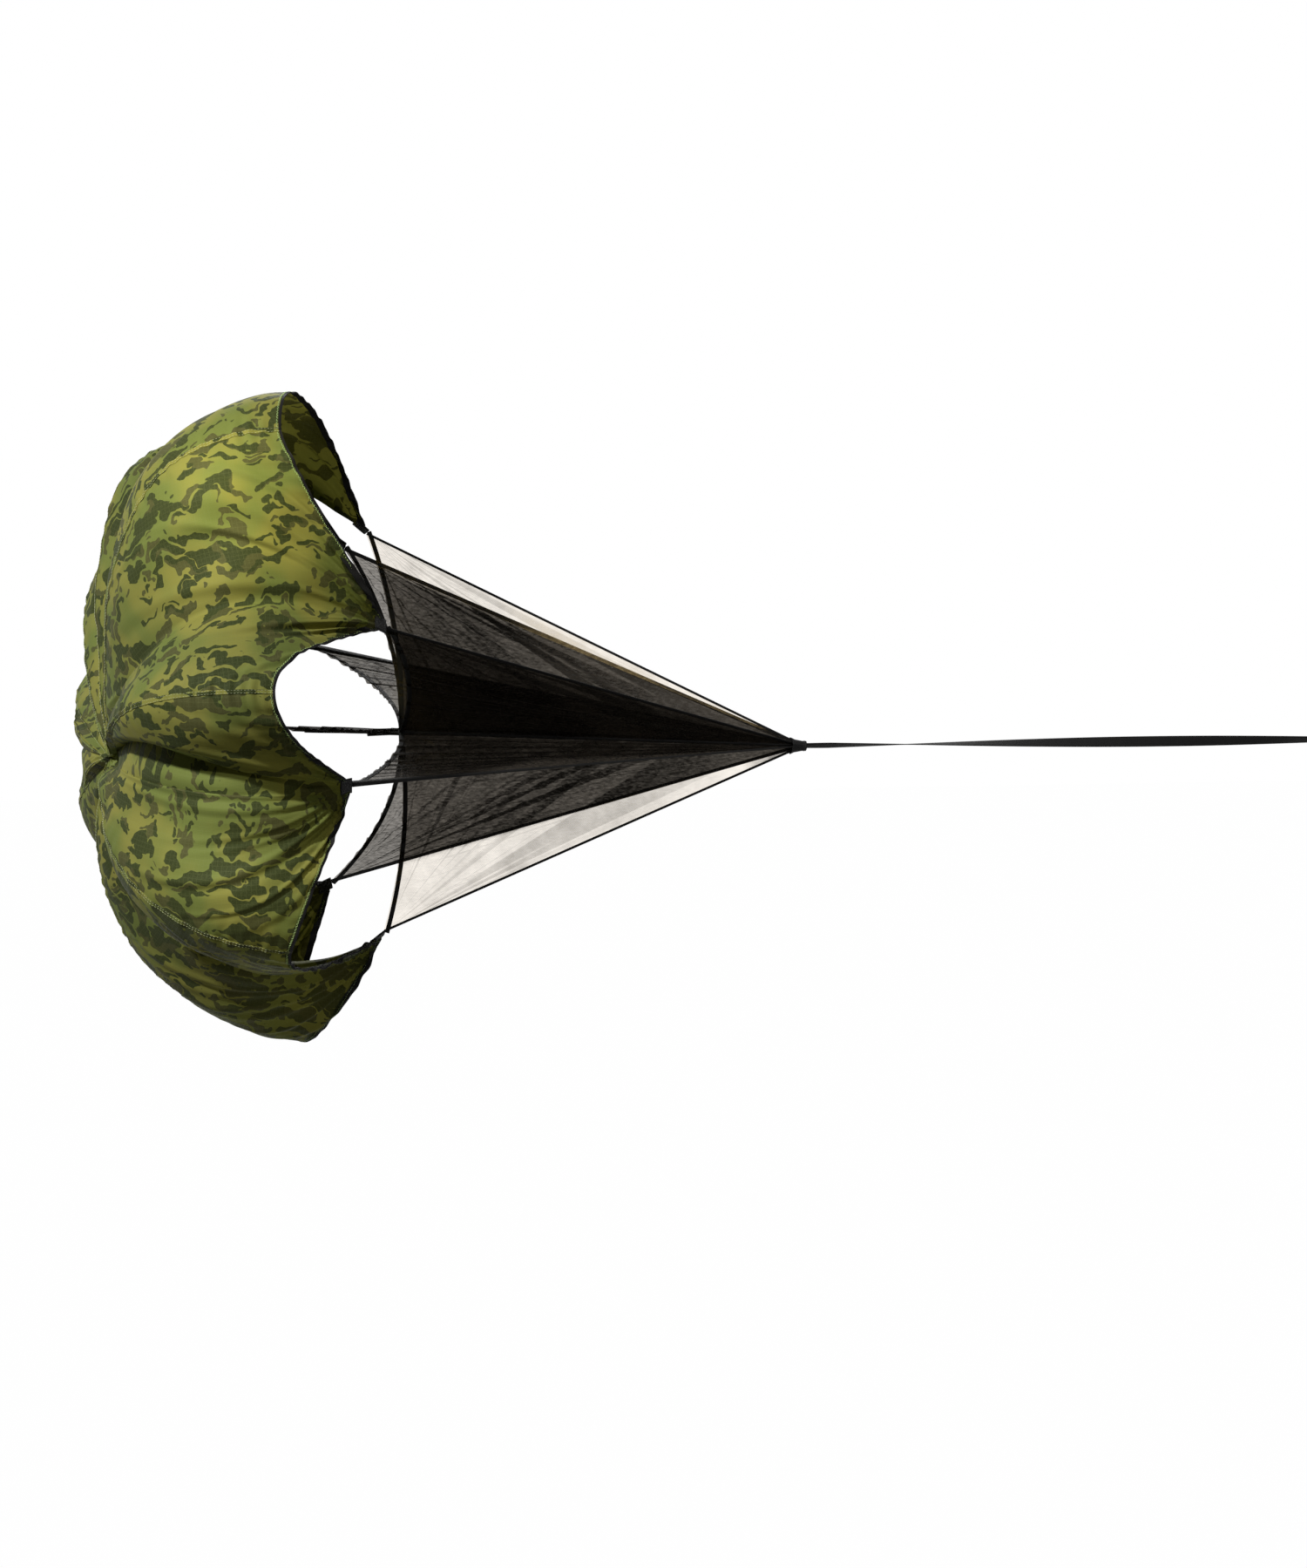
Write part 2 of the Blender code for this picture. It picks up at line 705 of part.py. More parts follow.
def make_strap(material):
    rings = []
    for i in range(STRAP_STATIONS + 1):
        distance = STRAP_INSET + (STRAP_LENGTH - STRAP_INSET) * i / STRAP_STATIONS
        open_share = min(1.0, max(0.0, (distance - WRAP_FRONT) / ROOT_LENGTH))
        width = ROOT_WIDTH + (STRAP_WIDTH - ROOT_WIDTH) * open_share
        thickness = ROOT_THICKNESS + (STRAP_THICKNESS - ROOT_THICKNESS) * open_share
        across = strap_across(distance)
        up = Vector((1, 0, 0)).cross(across)
        middle = Vector((APEX + distance, 0, 0))
        ring = []
        for u, v in ((-1, -1), (1, -1), (1, 1), (-1, 1)):
            ring.append(middle + across * (u * width / 2) + up * (v * thickness / 2))
        rings.append(ring)
    add_object("tow_strap", loft(rings), material)


def loop_path():
    """Middle line of the webbing from the lower ply's end round the eye's bar, as (x, z)."""
    offset = (STRAP_THICKNESS + SEAT_GAP) / 2
    radius = EYE_BAR_RADIUS + SEAT_GAP + STRAP_THICKNESS / 2
    joined = -TAIL_LENGTH * TAIL_SEWN_SHARE
    lean = math.atan2(radius - offset, -joined)
    path = [(-TAIL_LENGTH, -offset), (joined, -offset)]
    start, end = -math.pi / 2 - lean, math.pi / 2 + lean
    for i in range(ARC_STEPS + 1):
        turn = start + (end - start) * i / ARC_STEPS
        path.append((radius * math.cos(turn), radius * math.sin(turn)))
    path += [(joined, offset), (-TAIL_LENGTH, offset)]
    return path


def make_strap_loop(material, parent):
    path = loop_path()
    rings = []
    for i, point in enumerate(path):
        before, after = path[max(0, i - 1)], path[min(len(path) - 1, i + 1)]
        ahead = unit(before, after)
        normal = (-ahead[1], ahead[0])
        ring = []
        for u, v in ((-1, -1), (1, -1), (1, 1), (-1, 1)):
            x, z = shifted(point, normal, v * STRAP_THICKNESS / 2)
            ring.append(Vector((x, u * STRAP_WIDTH / 2, z)))
        rings.append(ring)
    add_object("strap_end_loop", loft(rings), material, parent)


# Swivel eye and snap hook

def rounded_rectangle(half_x, half_y, radius):
    points = []
    for cx, cy, first in ((1, 1, 0), (-1, 1, 90), (-1, -1, 180), (1, -1, 270)):
        for i in range(ROUNDING_STEPS + 1):
            turn = math.radians(first + 90 * i / ROUNDING_STEPS)
            x = cx * (half_x - radius) + radius * math.cos(turn)
            y = cy * (half_y - radius) + radius * math.sin(turn)
            points.append((x, y))
    return points


def lathe_capped(profile, sides):
    """A turned solid whose outline starts and ends on the axis."""
    bm = bmesh.new()
    first = bm.verts.new((profile[0][0], 0, 0))
    last = bm.verts.new((profile[-1][0], 0, 0))
    loops = []
    for x, r in profile[1:-1]:
        ring = ring_about(Vector((x, 0, 0)), Vector((0, 1, 0)), Vector((0, 0, 1)), r, sides)
        loops.append([bm.verts.new(p) for p in ring])
    for k in range(sides):
        n = (k + 1) % sides
        bm.faces.new((first, loops[0][n], loops[0][k]))
        bm.faces.new((last, loops[-1][k], loops[-1][n]))
        for a, b in zip(loops, loops[1:]):
            bm.faces.new((a[k], a[n], b[n], b[k]))
    return bm


def make_eye(material, parent):
    """The loop that holds the strap, with the headed shank that turns in the hook's barrel."""
    half_x = EYE_INNER_LENGTH / 2 + EYE_BAR_RADIUS
    half_y = STRAP_WIDTH / 2 + EYE_SIDE_CLEARANCE + EYE_BAR_RADIUS
    outline = rounded_rectangle(half_x, half_y, EYE_CORNER_RADIUS)
    path = [Vector((half_x + x, y, 0)) for x, y in outline]
    ring = bar_along(path, EYE_BAR_RADIUS, BAR_SIDES, Vector((0, 0, 1)), closed=True)
    eye = add_object("swivel_eye", ring, material, parent, smooth=True)
    front = EYE_FRONT - EYE_BAR
    head_back = BARREL_BACK + BARREL_NECK + HEAD_PLAY - EYE_BAR
    profile = [
        (front, 0),
        (front, SHANK_RADIUS),
        (head_back, SHANK_RADIUS),
        (head_back, HEAD_RADIUS),
        (head_back + HEAD_LENGTH, HEAD_RADIUS),
        (head_back + HEAD_LENGTH, 0),
    ]
    cut_or_join(eye, lathe_capped(profile, ROUND_SIDES), "UNION", parent)


def hook_path():
    """Middle line of the hook's bar, from inside the base round the bow to the nose."""
    centre = -HOOK_OPENING / 2
    path = [Vector((BASE_FRONT - HOOK_BAR_RADIUS, 0, -HALF_HOOK))]
    for i in range(ARC_STEPS + 1):
        turn = -math.pi / 2 + math.pi * i / ARC_STEPS
        path.append(Vector((centre + HALF_HOOK * math.cos(turn), 0, HALF_HOOK * math.sin(turn))))
    path.append(Vector((centre - NOSE_LENGTH, 0, HALF_HOOK)))
    return path


def make_hook(material):
    """A cast hook: barrel, base with cheeks for the gate, spine, bow and nose in one."""
    top = HALF_HOOK + HOOK_BAR_RADIUS + BASE_OVER_BAR
    low = (BASE_BACK, -BASE_HALF_WIDTH, -top)
    high = (BASE_FRONT, BASE_HALF_WIDTH, top)
    hook = add_object("hook_body", box_between(low, high), material, origin=(BASE_BACK, 0, 0))
    edge = hook.modifiers.new("edge", "BEVEL")
    edge.width = BASE_ROUNDING
    edge.segments = 2
    inner = BASE_BACK + BASE_ROUNDING * 2
    ends = Vector((BARREL_BACK, 0, 0)), Vector((inner, 0, 0))
    barrel = cylinder_between(*ends, BARREL_RADIUS, ROUND_SIDES)
    cut_or_join(hook, barrel, "UNION")
    bar = bar_along(hook_path(), HOOK_BAR_RADIUS, BAR_SIDES, Vector((0, 1, 0)))
    cut_or_join(hook, bar, "UNION")
    cavity_back = BARREL_BACK + BARREL_NECK
    cavity_front = cavity_back + HEAD_LENGTH + 2 * HEAD_PLAY
    bore = lathe_capped(
        [
            (BARREL_BACK - CUT_OVERRUN, 0),
            (BARREL_BACK - CUT_OVERRUN, SHANK_RADIUS + PIVOT_CLEARANCE),
            (cavity_back, SHANK_RADIUS + PIVOT_CLEARANCE),
            (cavity_back, HEAD_RADIUS + PIVOT_CLEARANCE),
            (cavity_front, HEAD_RADIUS + PIVOT_CLEARANCE),
            (cavity_front, 0),
        ],
        ROUND_SIDES,
    )
    cut_or_join(hook, bore, "DIFFERENCE")
    slot_low = (BASE_BACK + SLOT_BACK_WALL, -SLOT_WIDTH / 2, HALF_HOOK - SLOT_DEPTH)
    slot_high = (BASE_FRONT + CUT_OVERRUN, SLOT_WIDTH / 2, top + CUT_OVERRUN)
    cut_or_join(hook, box_between(slot_low, slot_high), "DIFFERENCE")
    reach = Vector((0, BASE_HALF_WIDTH + CUT_OVERRUN, 0))
    pivot = Vector((GATE_PIVOT, 0, HALF_HOOK))
    hole = cylinder_between(pivot - reach, pivot + reach, PIN_RADIUS + SEAT_GAP, ROUND_SIDES)
    cut_or_join(hook, hole, "DIFFERENCE")


def make_gate(material):
    """The spring-loaded gate, which opens inwards about its pin."""
    pivot = Vector((GATE_PIVOT, 0, HALF_HOOK))
    near = -SLOT_WIDTH / 2 + PIVOT_CLEARANCE
    start, end = pivot + Vector((0, near, 0)), pivot + Vector((0, near + TONGUE_WIDTH, 0))
    tongue = cylinder_between(start, end, TONGUE_RADIUS, ROUND_SIDES)
    gate = add_object("hook_gate", tongue, material, origin=pivot)
    bar_start = BASE_FRONT + GATE_STANDOFF
    tip = -HOOK_OPENING / 2 - NOSE_LENGTH - SEAT_GAP
    neck_low = (GATE_PIVOT, near, HALF_HOOK - NECK_HALF_HEIGHT)
    neck_high = (bar_start + GATE_HALF_WIDTH, near + TONGUE_WIDTH, HALF_HOOK + NECK_HALF_HEIGHT)
    cut_or_join(gate, box_between(neck_low, neck_high), "UNION")
    bar_low = (bar_start, -GATE_HALF_WIDTH, HALF_HOOK - GATE_HALF_HEIGHT)
    bar_high = (tip, GATE_HALF_WIDTH, HALF_HOOK + GATE_HALF_HEIGHT)
    cut_or_join(gate, box_between(bar_low, bar_high), "UNION")
    reach = Vector((0, SLOT_WIDTH, 0))
    hole = cylinder_between(pivot - reach, pivot + reach, PIN_RADIUS + PIVOT_CLEARANCE, ROUND_SIDES)
    cut_or_join(gate, hole, "DIFFERENCE")


def make_gate_pin(material):
    pivot = Vector((GATE_PIVOT, 0, HALF_HOOK))
    reach = Vector((0, BASE_HALF_WIDTH + PIN_PROUD, 0))
    pin = cylinder_between(pivot - reach, pivot + reach, PIN_RADIUS, ROUND_SIDES)
    add_object("gate_pin", pin, material, smooth=True)


def gap_between_turns(rings):
    """Least distance between points of a coil's surface that lie over half a turn apart along it."""
    apart = STEPS_PER_TURN // 2 + 1
    gaps = []
    for i, ring in enumerate(rings):
        for later in rings[i + apart:]:
            gaps += [(p - q).length for p in ring for q in later]
    return min(gaps)


def make_gate_spring(material):
    """A torsion coil round the pin, beside the gate's tongue."""
    first = -SLOT_WIDTH / 2 + 2 * PIVOT_CLEARANCE + TONGUE_WIDTH + SPRING_WIRE
    radius = PIN_RADIUS + PIVOT_CLEARANCE + SPRING_WIRE
    count = round(STEPS_PER_TURN * SPRING_TURNS)
    path = []
    for i in range(count + 1):
        turn = 2 * math.pi * i / STEPS_PER_TURN
        x = GATE_PIVOT + radius * math.cos(turn)
        z = HALF_HOOK + radius * math.sin(turn)
        path.append(Vector((x, first + SPRING_PITCH * i / STEPS_PER_TURN, z)))
    rings = []
    for i, point in enumerate(path):
        ahead = (path[min(i + 1, count)] - path[max(i - 1, 0)]).normalized()
        out = (point - Vector((GATE_PIVOT, point.y, HALF_HOOK))).normalized()
        rings.append(ring_about(point, ahead.cross(out), out, SPRING_WIRE, WIRE_SIDES))
    add_object("gate_spring", loft(rings), material, smooth=True)
    print(f"gate_spring: least gap between its turns {gap_between_turns(rings):.5f} m")


def build():
    clear_scene()
    camouflage = finish("camouflage polyester", (0.30, 0.33, 0.14), 0.6)
    black_tape = finish("black binding tape", (0.02, 0.02, 0.02), 0.7)
    webbing = finish("black webbing", (0.025, 0.025, 0.025), 0.65)
    mesh_cloth = finish("black mesh cloth", (0.05, 0.045, 0.04), 0.8)
    steel = finish("nickel-plated steel", (0.62, 0.62, 0.60), 0.3, 1.0)
    chute = add_empty("chute_frame", (APEX, 0, 0), (0, math.radians(CHUTE_PITCH), 0))
    for k in range(GORES):
        make_gore(k, camouflage, chute)
        make_seam(k, camouflage, chute)
        make_hem_tape(k, black_tape, chute)
        make_tab(k, webbing, chute)
        make_fin(k, mesh_cloth, chute)
        make_fin_tape(k, black_tape, chute)
    make_crown_patch(camouflage, chute)
    make_spine(black_tape, chute)
    make_wrap(webbing, chute)
    make_strap(webbing)
    end_turn = math.radians(STRAP_START_ANGLE + STRAP_TWIST + 90)
    strap_end = add_empty("strap_end_frame", (EYE_BAR, 0, 0), (end_turn, 0, 0))
    make_strap_loop(webbing, strap_end)
    make_eye(steel, strap_end)
    make_hook(steel)
    make_gate(steel)
    make_gate_pin(steel)
    make_gate_spring(steel)


build()
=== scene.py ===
"""Speed parachute in flight: camouflage canopy, cone of black mesh fins, tow strap and snap hook."""

import math

import bmesh
import bpy
import numpy as np
from mathutils import Matrix, Vector


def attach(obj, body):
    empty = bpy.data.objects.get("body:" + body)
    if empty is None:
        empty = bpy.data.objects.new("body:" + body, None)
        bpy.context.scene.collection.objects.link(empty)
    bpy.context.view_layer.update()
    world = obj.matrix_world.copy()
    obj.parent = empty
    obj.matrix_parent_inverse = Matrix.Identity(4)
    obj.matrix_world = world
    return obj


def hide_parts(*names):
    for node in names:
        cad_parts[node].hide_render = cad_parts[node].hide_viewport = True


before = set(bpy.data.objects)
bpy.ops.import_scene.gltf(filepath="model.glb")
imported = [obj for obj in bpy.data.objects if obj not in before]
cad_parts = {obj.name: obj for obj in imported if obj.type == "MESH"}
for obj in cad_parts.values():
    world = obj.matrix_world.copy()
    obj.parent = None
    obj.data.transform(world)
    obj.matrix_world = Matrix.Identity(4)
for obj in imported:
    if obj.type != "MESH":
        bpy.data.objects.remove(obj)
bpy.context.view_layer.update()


# Studio: a plain pale floor far enough below the flying canopy that its shadow falls outside the
# picture, a pale room and soft lamps. The white behind the object is colour, not light on it.

FLOOR_HEIGHT, FLOOR_REACH, FLOOR_WHITE = -1.75, 30, 0.994
ROOM_LIGHT = 0.014
CANOPY_MIDDLE = (-1.6, 0.0, 0.0)


def stand(name, data):
    """An object with this data, put in the scene."""
    made = bpy.data.objects.new(name, data)
    bpy.context.scene.collection.objects.link(made)
    return made


class Shade:
    """A socket in a tree of shader nodes. Arithmetic on it adds Math nodes."""

    def __init__(self, tree, socket):
        self.tree, self.socket = tree, socket

    def node(self, kind, inputs, out=0, **settings):
        """One output of a new node with these settings and inputs."""
        made = self.tree.nodes.new(kind)
        for name, value in settings.items():
            setattr(made, name, value)
        for place, value in inputs.items():
            if isinstance(value, Shade):
                self.tree.links.new(value.socket, made.inputs[place])
            else:
                made.inputs[place].default_value = value
        return Shade(self.tree, made.outputs[out])

    def maths(self, operation, *values):
        return self.node("ShaderNodeMath", dict(enumerate(values)), operation=operation)

    def __add__(self, other):
        return self.maths("ADD", self, other)

    def __radd__(self, other):
        return self.maths("ADD", other, self)

    def __sub__(self, other):
        return self.maths("SUBTRACT", self, other)

    def __rsub__(self, other):
        return self.maths("SUBTRACT", other, self)

    def __mul__(self, other):
        return self.maths("MULTIPLY", self, other)

    def __rmul__(self, other):
        return self.maths("MULTIPLY", other, self)

    def most(self, other):
        return self.maths("MAXIMUM", self, other)

    def sine(self):
        return self.maths("SINE", self)

    def ripple(self, pitch):
        """A wave between -1 and 1 that repeats at every pitch, in metres."""
        return (self * (2 * math.pi / pitch)).sine()

    def step(self, low, high):
        """0 below low and 1 above high, and smooth between them."""
        inputs = {"Value": self, "From Min": low, "From Max": high}
        return self.node("ShaderNodeMapRange", inputs, interpolation_type="SMOOTHSTEP")

    def noise(self, scale, detail=2.0, roughness=0.5, out=0):
        inputs = {"Vector": self, "Scale": scale, "Detail": detail, "Roughness": roughness}
        return self.node("ShaderNodeTexNoise", inputs, out)

    def mapped(self, location=(0, 0, 0), turn=0.0, scale=(1, 1, 1)):
        inputs = {"Vector": self, "Location": location, "Rotation": (0, 0, turn), "Scale": scale}
        return self.node("ShaderNodeMapping", inputs)

    def part(self, axis):
        return self.node("ShaderNodeSeparateXYZ", {0: self}, axis)

    def blend(self, first, second):
        """Goes from the first colour to the second as this value goes from 0 to 1."""
        first, second = (end if isinstance(end, Shade) else (*end, 1) for end in (first, second))
        return self.node("ShaderNodeMix", {0: self, 6: first, 7: second}, 2, data_type="RGBA")


def white_to_the_camera(tree, lit, share, kind, end):
    """Mixes plain white into a surface for what the camera and shiny metal see of it."""
    start = Shade(tree, None)
    direct = start.node("ShaderNodeLightPath", {}, "Is Camera Ray")
    mirrored = start.node("ShaderNodeLightPath", {}, "Is Glossy Ray")
    white = start.node(kind, {"Color": (1, 1, 1, 1), "Strength": 1.0})
    mix = start.node("ShaderNodeMixShader", {0: direct.most(mirrored) * share, 1: Shade(tree, lit), 2: white})
    tree.links.new(mix.socket, tree.nodes[end].inputs["Surface"])


def add_floor():
    mesh = bpy.data.meshes.new("floor")
    corners = [(x * FLOOR_REACH, y * FLOOR_REACH) for x, y in ((-1, -1), (1, -1), (1, 1), (-1, 1))]
    mesh.from_pydata([(x, y, FLOOR_HEIGHT) for x, y in corners], [], [(0, 1, 2, 3)])
    floor = stand("floor", mesh)
    paint = bpy.data.materials.new("pale floor")
    paint.use_nodes = True
    surface = paint.node_tree.nodes["Principled BSDF"]
    surface.inputs["Base Color"].default_value = (0.06, 0.06, 0.06, 1)
    surface.inputs["Roughness"].default_value = 0.9
    lit = surface.outputs[0]
    white_to_the_camera(paint.node_tree, lit, FLOOR_WHITE, "ShaderNodeEmission", "Material Output")
    mesh.materials.append(paint)


def light_room():
    world = bpy.data.worlds.new("room")
    bpy.context.scene.world = world
    world.use_nodes = True
    room = world.node_tree.nodes["Background"]
    room.inputs["Color"].default_value = (0.93, 0.97, 1.0, 1)
    room.inputs["Strength"].default_value = ROOM_LIGHT
    white_to_the_camera(world.node_tree, room.outputs[0], 1.0, "ShaderNodeBackground", "World Output")


def add_lamp(name, place, aim, size, power, cone=None, colour=(1, 1, 1)):
    """A round soft lamp, or with a cone a spot that fades from its middle to its rim."""
    data = bpy.data.lights.new(name, "SPOT" if cone else "AREA")
    if cone:
        data.spot_size, data.spot_blend, data.shadow_soft_size = math.radians(cone), 1.0, size
    else:
        data.shape, data.size = "DISK", size
    data.energy, data.color = power, colour
    lamp = stand(name, data)
    lamp.location = place
    lamp.rotation_euler = (Vector(place) - Vector(aim)).to_track_quat("Z", "Y").to_euler()


add_floor()
light_room()
add_lamp("key", (-4.95, -2.25, 2.9), CANOPY_MIDDLE, 0.35, 335)
add_lamp("back", (-0.9, 3.0, 2.4), CANOPY_MIDDLE, 1.2, 60)
add_lamp("glint", (-3.3, -2.9, 3.0), (-1.665, -0.19, 0.255), 0.1, 1500, 3.4, (1.0, 0.90, 0.45))
add_lamp("low glint", (-3.6, -3.5, 2.3), (-1.73, -0.30, -0.150), 0.1, 540, 4.0, (1.0, 0.95, 0.75))
bpy.context.scene.view_settings.view_transform = "Standard"


# Camera: level with the runner's waist, 16 degrees to the canopy's side of square-on, with a
# long lens, so that the strap runs out of the picture's right edge.

CAMERA_TURN, CAMERA_HEIGHT = math.radians(-16), math.radians(3)
camera_data = bpy.data.cameras.new("camera")
camera_data.lens, camera_data.sensor_fit, camera_data.sensor_height = 85, "VERTICAL", 36
camera = stand("camera", camera_data)
camera.location = (-2.4837, -4.8438, 0.2142)
level = math.cos(CAMERA_HEIGHT)
backwards = (math.sin(CAMERA_TURN) * level, -math.cos(CAMERA_TURN) * level, math.sin(CAMERA_HEIGHT))
camera.rotation_euler = Vector(backwards).to_track_quat("Z", "Y").to_euler()
bpy.context.scene.camera = camera


# Tow strap: one length of flat black polyester webbing, sewn into the wrap at the gathered fins
# and pulled taut. It turns by half a turn on its way to the loop at its end.

APEX_X = -0.8888
WRAP_FRONT = 0.012
STRAP_LONG, STRAP_WIDE, STRAP_THICK = 0.79, 0.015, 0.0013
ROOT_START, ROOT_SPREAD = 0.0006, 0.035
ROOT_WIDE, ROOT_THICK = 0.0102, 0.0024
STRAP_FIRST_TURN, STRAP_TURN, STRAP_STEPS = 50, 187, 260
YARN_LONG, RIB_WIDE = 0.0024, 0.0018


class Finish:
    """A material with its shader, its coordinates and what varies over its surface."""

    def __init__(self, name, colour, roughness, metallic=0.0, **constants):
        self.material = bpy.data.materials.new(name)
        self.material.use_nodes = True
        self.tree = self.material.node_tree
        self.shader = self.tree.nodes["Principled BSDF"]
        constants.update(Base_Color=(*colour, 1), Roughness=roughness, Metallic=metallic)
        for socket, value in constants.items():
            self.shader.inputs[socket.replace("_", " ")].default_value = value

    def source(self, kind, out, **settings):
        return Shade(self.tree, None).node(kind, {}, out, **settings)

    def laid_out(self, name):
        """The piece's own flat layout, in metres of cloth."""
        return self.source("ShaderNodeUVMap", 0, uv_map=name)

    def feed(self, **sockets):
        for socket, value in sockets.items():
            self.tree.links.new(value.socket, self.shader.inputs[socket.replace("_", " ")])

    def raise_by(self, height, distance, strength=1.0):
        """Bumps the surface by a height from 0 to 1 times the distance in metres."""
        inputs = {"Height": height, "Distance": distance, "Strength": strength}
        self.feed(Normal=height.node("ShaderNodeBump", inputs))

    def mix_shaders(self, share, first, second):
        """Goes from the first shader to the second as the share goes from 0 to 1."""
        mix = share.node("ShaderNodeMixShader", {0: share, 1: first, 2: second})
        self.tree.links.new(mix.socket, self.tree.nodes["Material Output"].inputs["Surface"])


def webbing_finish():
    """Black webbing: ribs along it, the weft's rows across them, and high yarns lighter by a painted
    highlight and dust.
    """
    cloth = Finish("black webbing", (0.012, 0.012, 0.012), 0.62, Specular_IOR_Level=0.12)
    flat = cloth.laid_out("webbing")
    across = flat.part(1)
    zigzag = (flat.part(0) * (2 * math.pi / YARN_LONG) + across.ripple(2 * RIB_WIDE) * 1.4).sine()
    height = zigzag * 0.3 + across.ripple(RIB_WIDE) * 0.2 + 0.5
    # Painted highlight: the raised yarns are coloured lighter, with dust at random over them.
    high = height.step(0.45, 0.95) * 0.7 + flat.noise(60, 4, 0.6) * 0.3
    cloth.feed(Base_Color=high.blend((0.005, 0.005, 0.005), (0.026, 0.0255, 0.025)))
    cloth.feed(Roughness=0.72 - high * 0.2)
    cloth.raise_by(height, 0.0003)
    return cloth.material


def add_piece(name, vertices, faces, material, layouts=None):
    """A mesh piece, with any layouts as a table from name to one flat point for each vertex."""
    mesh = bpy.data.meshes.new(name)
    mesh.from_pydata([tuple(v) for v in vertices], [], faces)
    corners = np.zeros(len(mesh.loops), np.int64)
    mesh.loops.foreach_get("vertex_index", corners)
    for layout, points in (layouts or {}).items():
        layer = mesh.uv_layers.new(name=layout)
        layer.data.foreach_set("uv", np.asarray(points, np.float32)[corners].ravel())
    mesh.materials.append(material)
    mesh.shade_smooth()
    return stand(name, mesh)


def face_outwards(piece):
    """Turns the faces of closed shells outwards."""
    work = bmesh.new()
    work.from_mesh(piece.data)
    bmesh.ops.recalc_face_normals(work, faces=work.faces)
    work.to_mesh(piece.data)
    work.free()


def lofted(rings, closed=False):
    """Vertices and faces of a closed shell through rings of points, capped at both ends."""
    rows, count = len(rings), len(rings[0])
    faces = []
    for r in range(rows if closed else rows - 1):
        s = (r + 1) % rows
        for c in range(count):
            d = (c + 1) % count
            faces.append((r * count + c, r * count + d, s * count + d, s * count + c))
    if not closed:
        faces.append(tuple(range(count)))
        faces.append(tuple((rows - 1) * count + c for c in range(count)))
    return [p for ring in rings for p in ring], faces


def shell(name, rings, material, layouts=None, closed=False, sharp=0):
    """A closed shell through rings, whose edges above the sharp angle in degrees stay sharp."""
    piece = add_piece(name, *lofted(rings, closed), material, layouts)
    face_outwards(piece)
    if sharp:
        piece.data.set_sharp_from_angle(angle=math.radians(sharp))
    return piece


def webbing_section(width, thickness):
    """The rounded outline of flat webbing, as points across and up."""
    half, edge = width / 2, thickness / 2
    points = []
    for side in (1, -1):
        for turn in map(math.radians, (-60, -20, 20, 60)):
            points.append((side * (half - edge + edge * math.cos(turn)), side * edge * math.sin(turn)))
        for share in (0.6, 0.2, -0.2, -0.6):
            points.append((side * share * (half - edge), side * edge))
    return points


def lay_webbing(name, stations, start=0.0):
    """Webbing through stations of (middle, across, up, width, thickness)."""
    rings, flat, run = [], [], start
    for i, (middle, across, up, width, thickness) in enumerate(stations):
        if i:
            run += (middle - stations[i - 1][0]).length
        section = webbing_section(width, thickness)
        rings.append([middle + across * u + up * v for u, v in section])
        flat += [(run, u) for u, v in section]
    return shell(name, rings, webbing, {"webbing": flat}, sharp=60)


def dress(piece, body, node):
    """The piece rides with its body, and stands for its solid if it has one."""
    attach(piece, body)
    if node:
        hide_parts(node)


strap_line = []
for i in range(STRAP_STEPS + 1):
    run = ROOT_START + (STRAP_LONG - ROOT_START) * i / STRAP_STEPS
    spread = min(1.0, max(0.0, (run - WRAP_FRONT) / ROOT_SPREAD))
    width = ROOT_WIDE + (STRAP_WIDE - ROOT_WIDE) * spread
    thickness = ROOT_THICK + (STRAP_THICK - ROOT_THICK) * spread
    turn = math.radians(STRAP_FIRST_TURN + STRAP_TURN * run / STRAP_LONG)
    across = Vector((0, -math.sin(turn), math.cos(turn)))
    up = Vector((1, 0, 0)).cross(across)
    strap_line.append((Vector((APEX_X + run, 0, 0)), across, up, width, thickness))
webbing = webbing_finish()
strap = lay_webbing("strap_webbing", strap_line)
dress(strap, "chute", "tow_strap")


# Canopy: eight petals of thin camouflage polyester, cut to a flower of about 1.4 m and held open
# by the air. Each petal's middle ends in an ear that pulls the cloth into fans of creases.

GORES, GORE_COLUMNS, GORE_ROWS = 8, 160, 180
HEM_X, CANOPY_DEEP = 0.560, 0.398
CROWN_DIMPLE, CROWN_DROP, CROWN_ROUND = 0.012, 0.046, 0.013
CORNER_RADIUS, CORNER_BACK = 0.28, 0.09
LOBE_RADIUS, LOBE_BACK = 0.43, 0.18
EAR_RISE, EAR_RUN = 0.14, 0.17
EAR_FILL_RISE, EAR_FILL_RUN = 0.035, 0.06
LIP_DRAWN_IN, LIP_RUN = 0.015, 0.145
VALLEY_SHOULDER, VALLEY_PROUD = 0.20, 0.004
RIDGE_SHOULDER, RIDGE_PROUD = 0.24, 0.048
FOLD_DEPTH = 0.005
CORNER_ANGLES = (-5, 60, 102.5, 162, 219.5, 268.5, 293.5, 331.5)
CORNER_RADIUS_SHARES = (0.95, 1.0, 1.0, 0.98, 1.0, 1.0, 1.0, 1.0)
CORNER_BACK_SHARES = (0.55, 0.83, 1.30, 0.30, 0.54, 1.33, 0.92, 0.63)
VALLEY_SHARES = (0.15, 0.3, 1.0, 0.7, 0.5, 0.6, 0.4, 0.4)
VALLEY_TRACKS = (0, 0, -0.5, 0, 0, 0, 0, 0)
VALLEY_FILLS, FILL_WIDE, FILL_AT, FILL_LONG = {5: 0.024}, 0.038, 0.16, 0.13
CREASE_DEEP, CREASE_WIDE, VALLEY_DEEP = 0.005, 0.020, 0.026
HEM_RIPPLE, FULL_HEM_RIPPLE = 0.0019, 0.0040
SEAM_RIPPLE, CROWN_RIPPLE = 0.0011, 0.0012
SLOW_BILLOW, QUICK_BILLOW = 0.0022, 0.0008
SWELL_AT, SWELL_WIDE = 0.034, 0.024
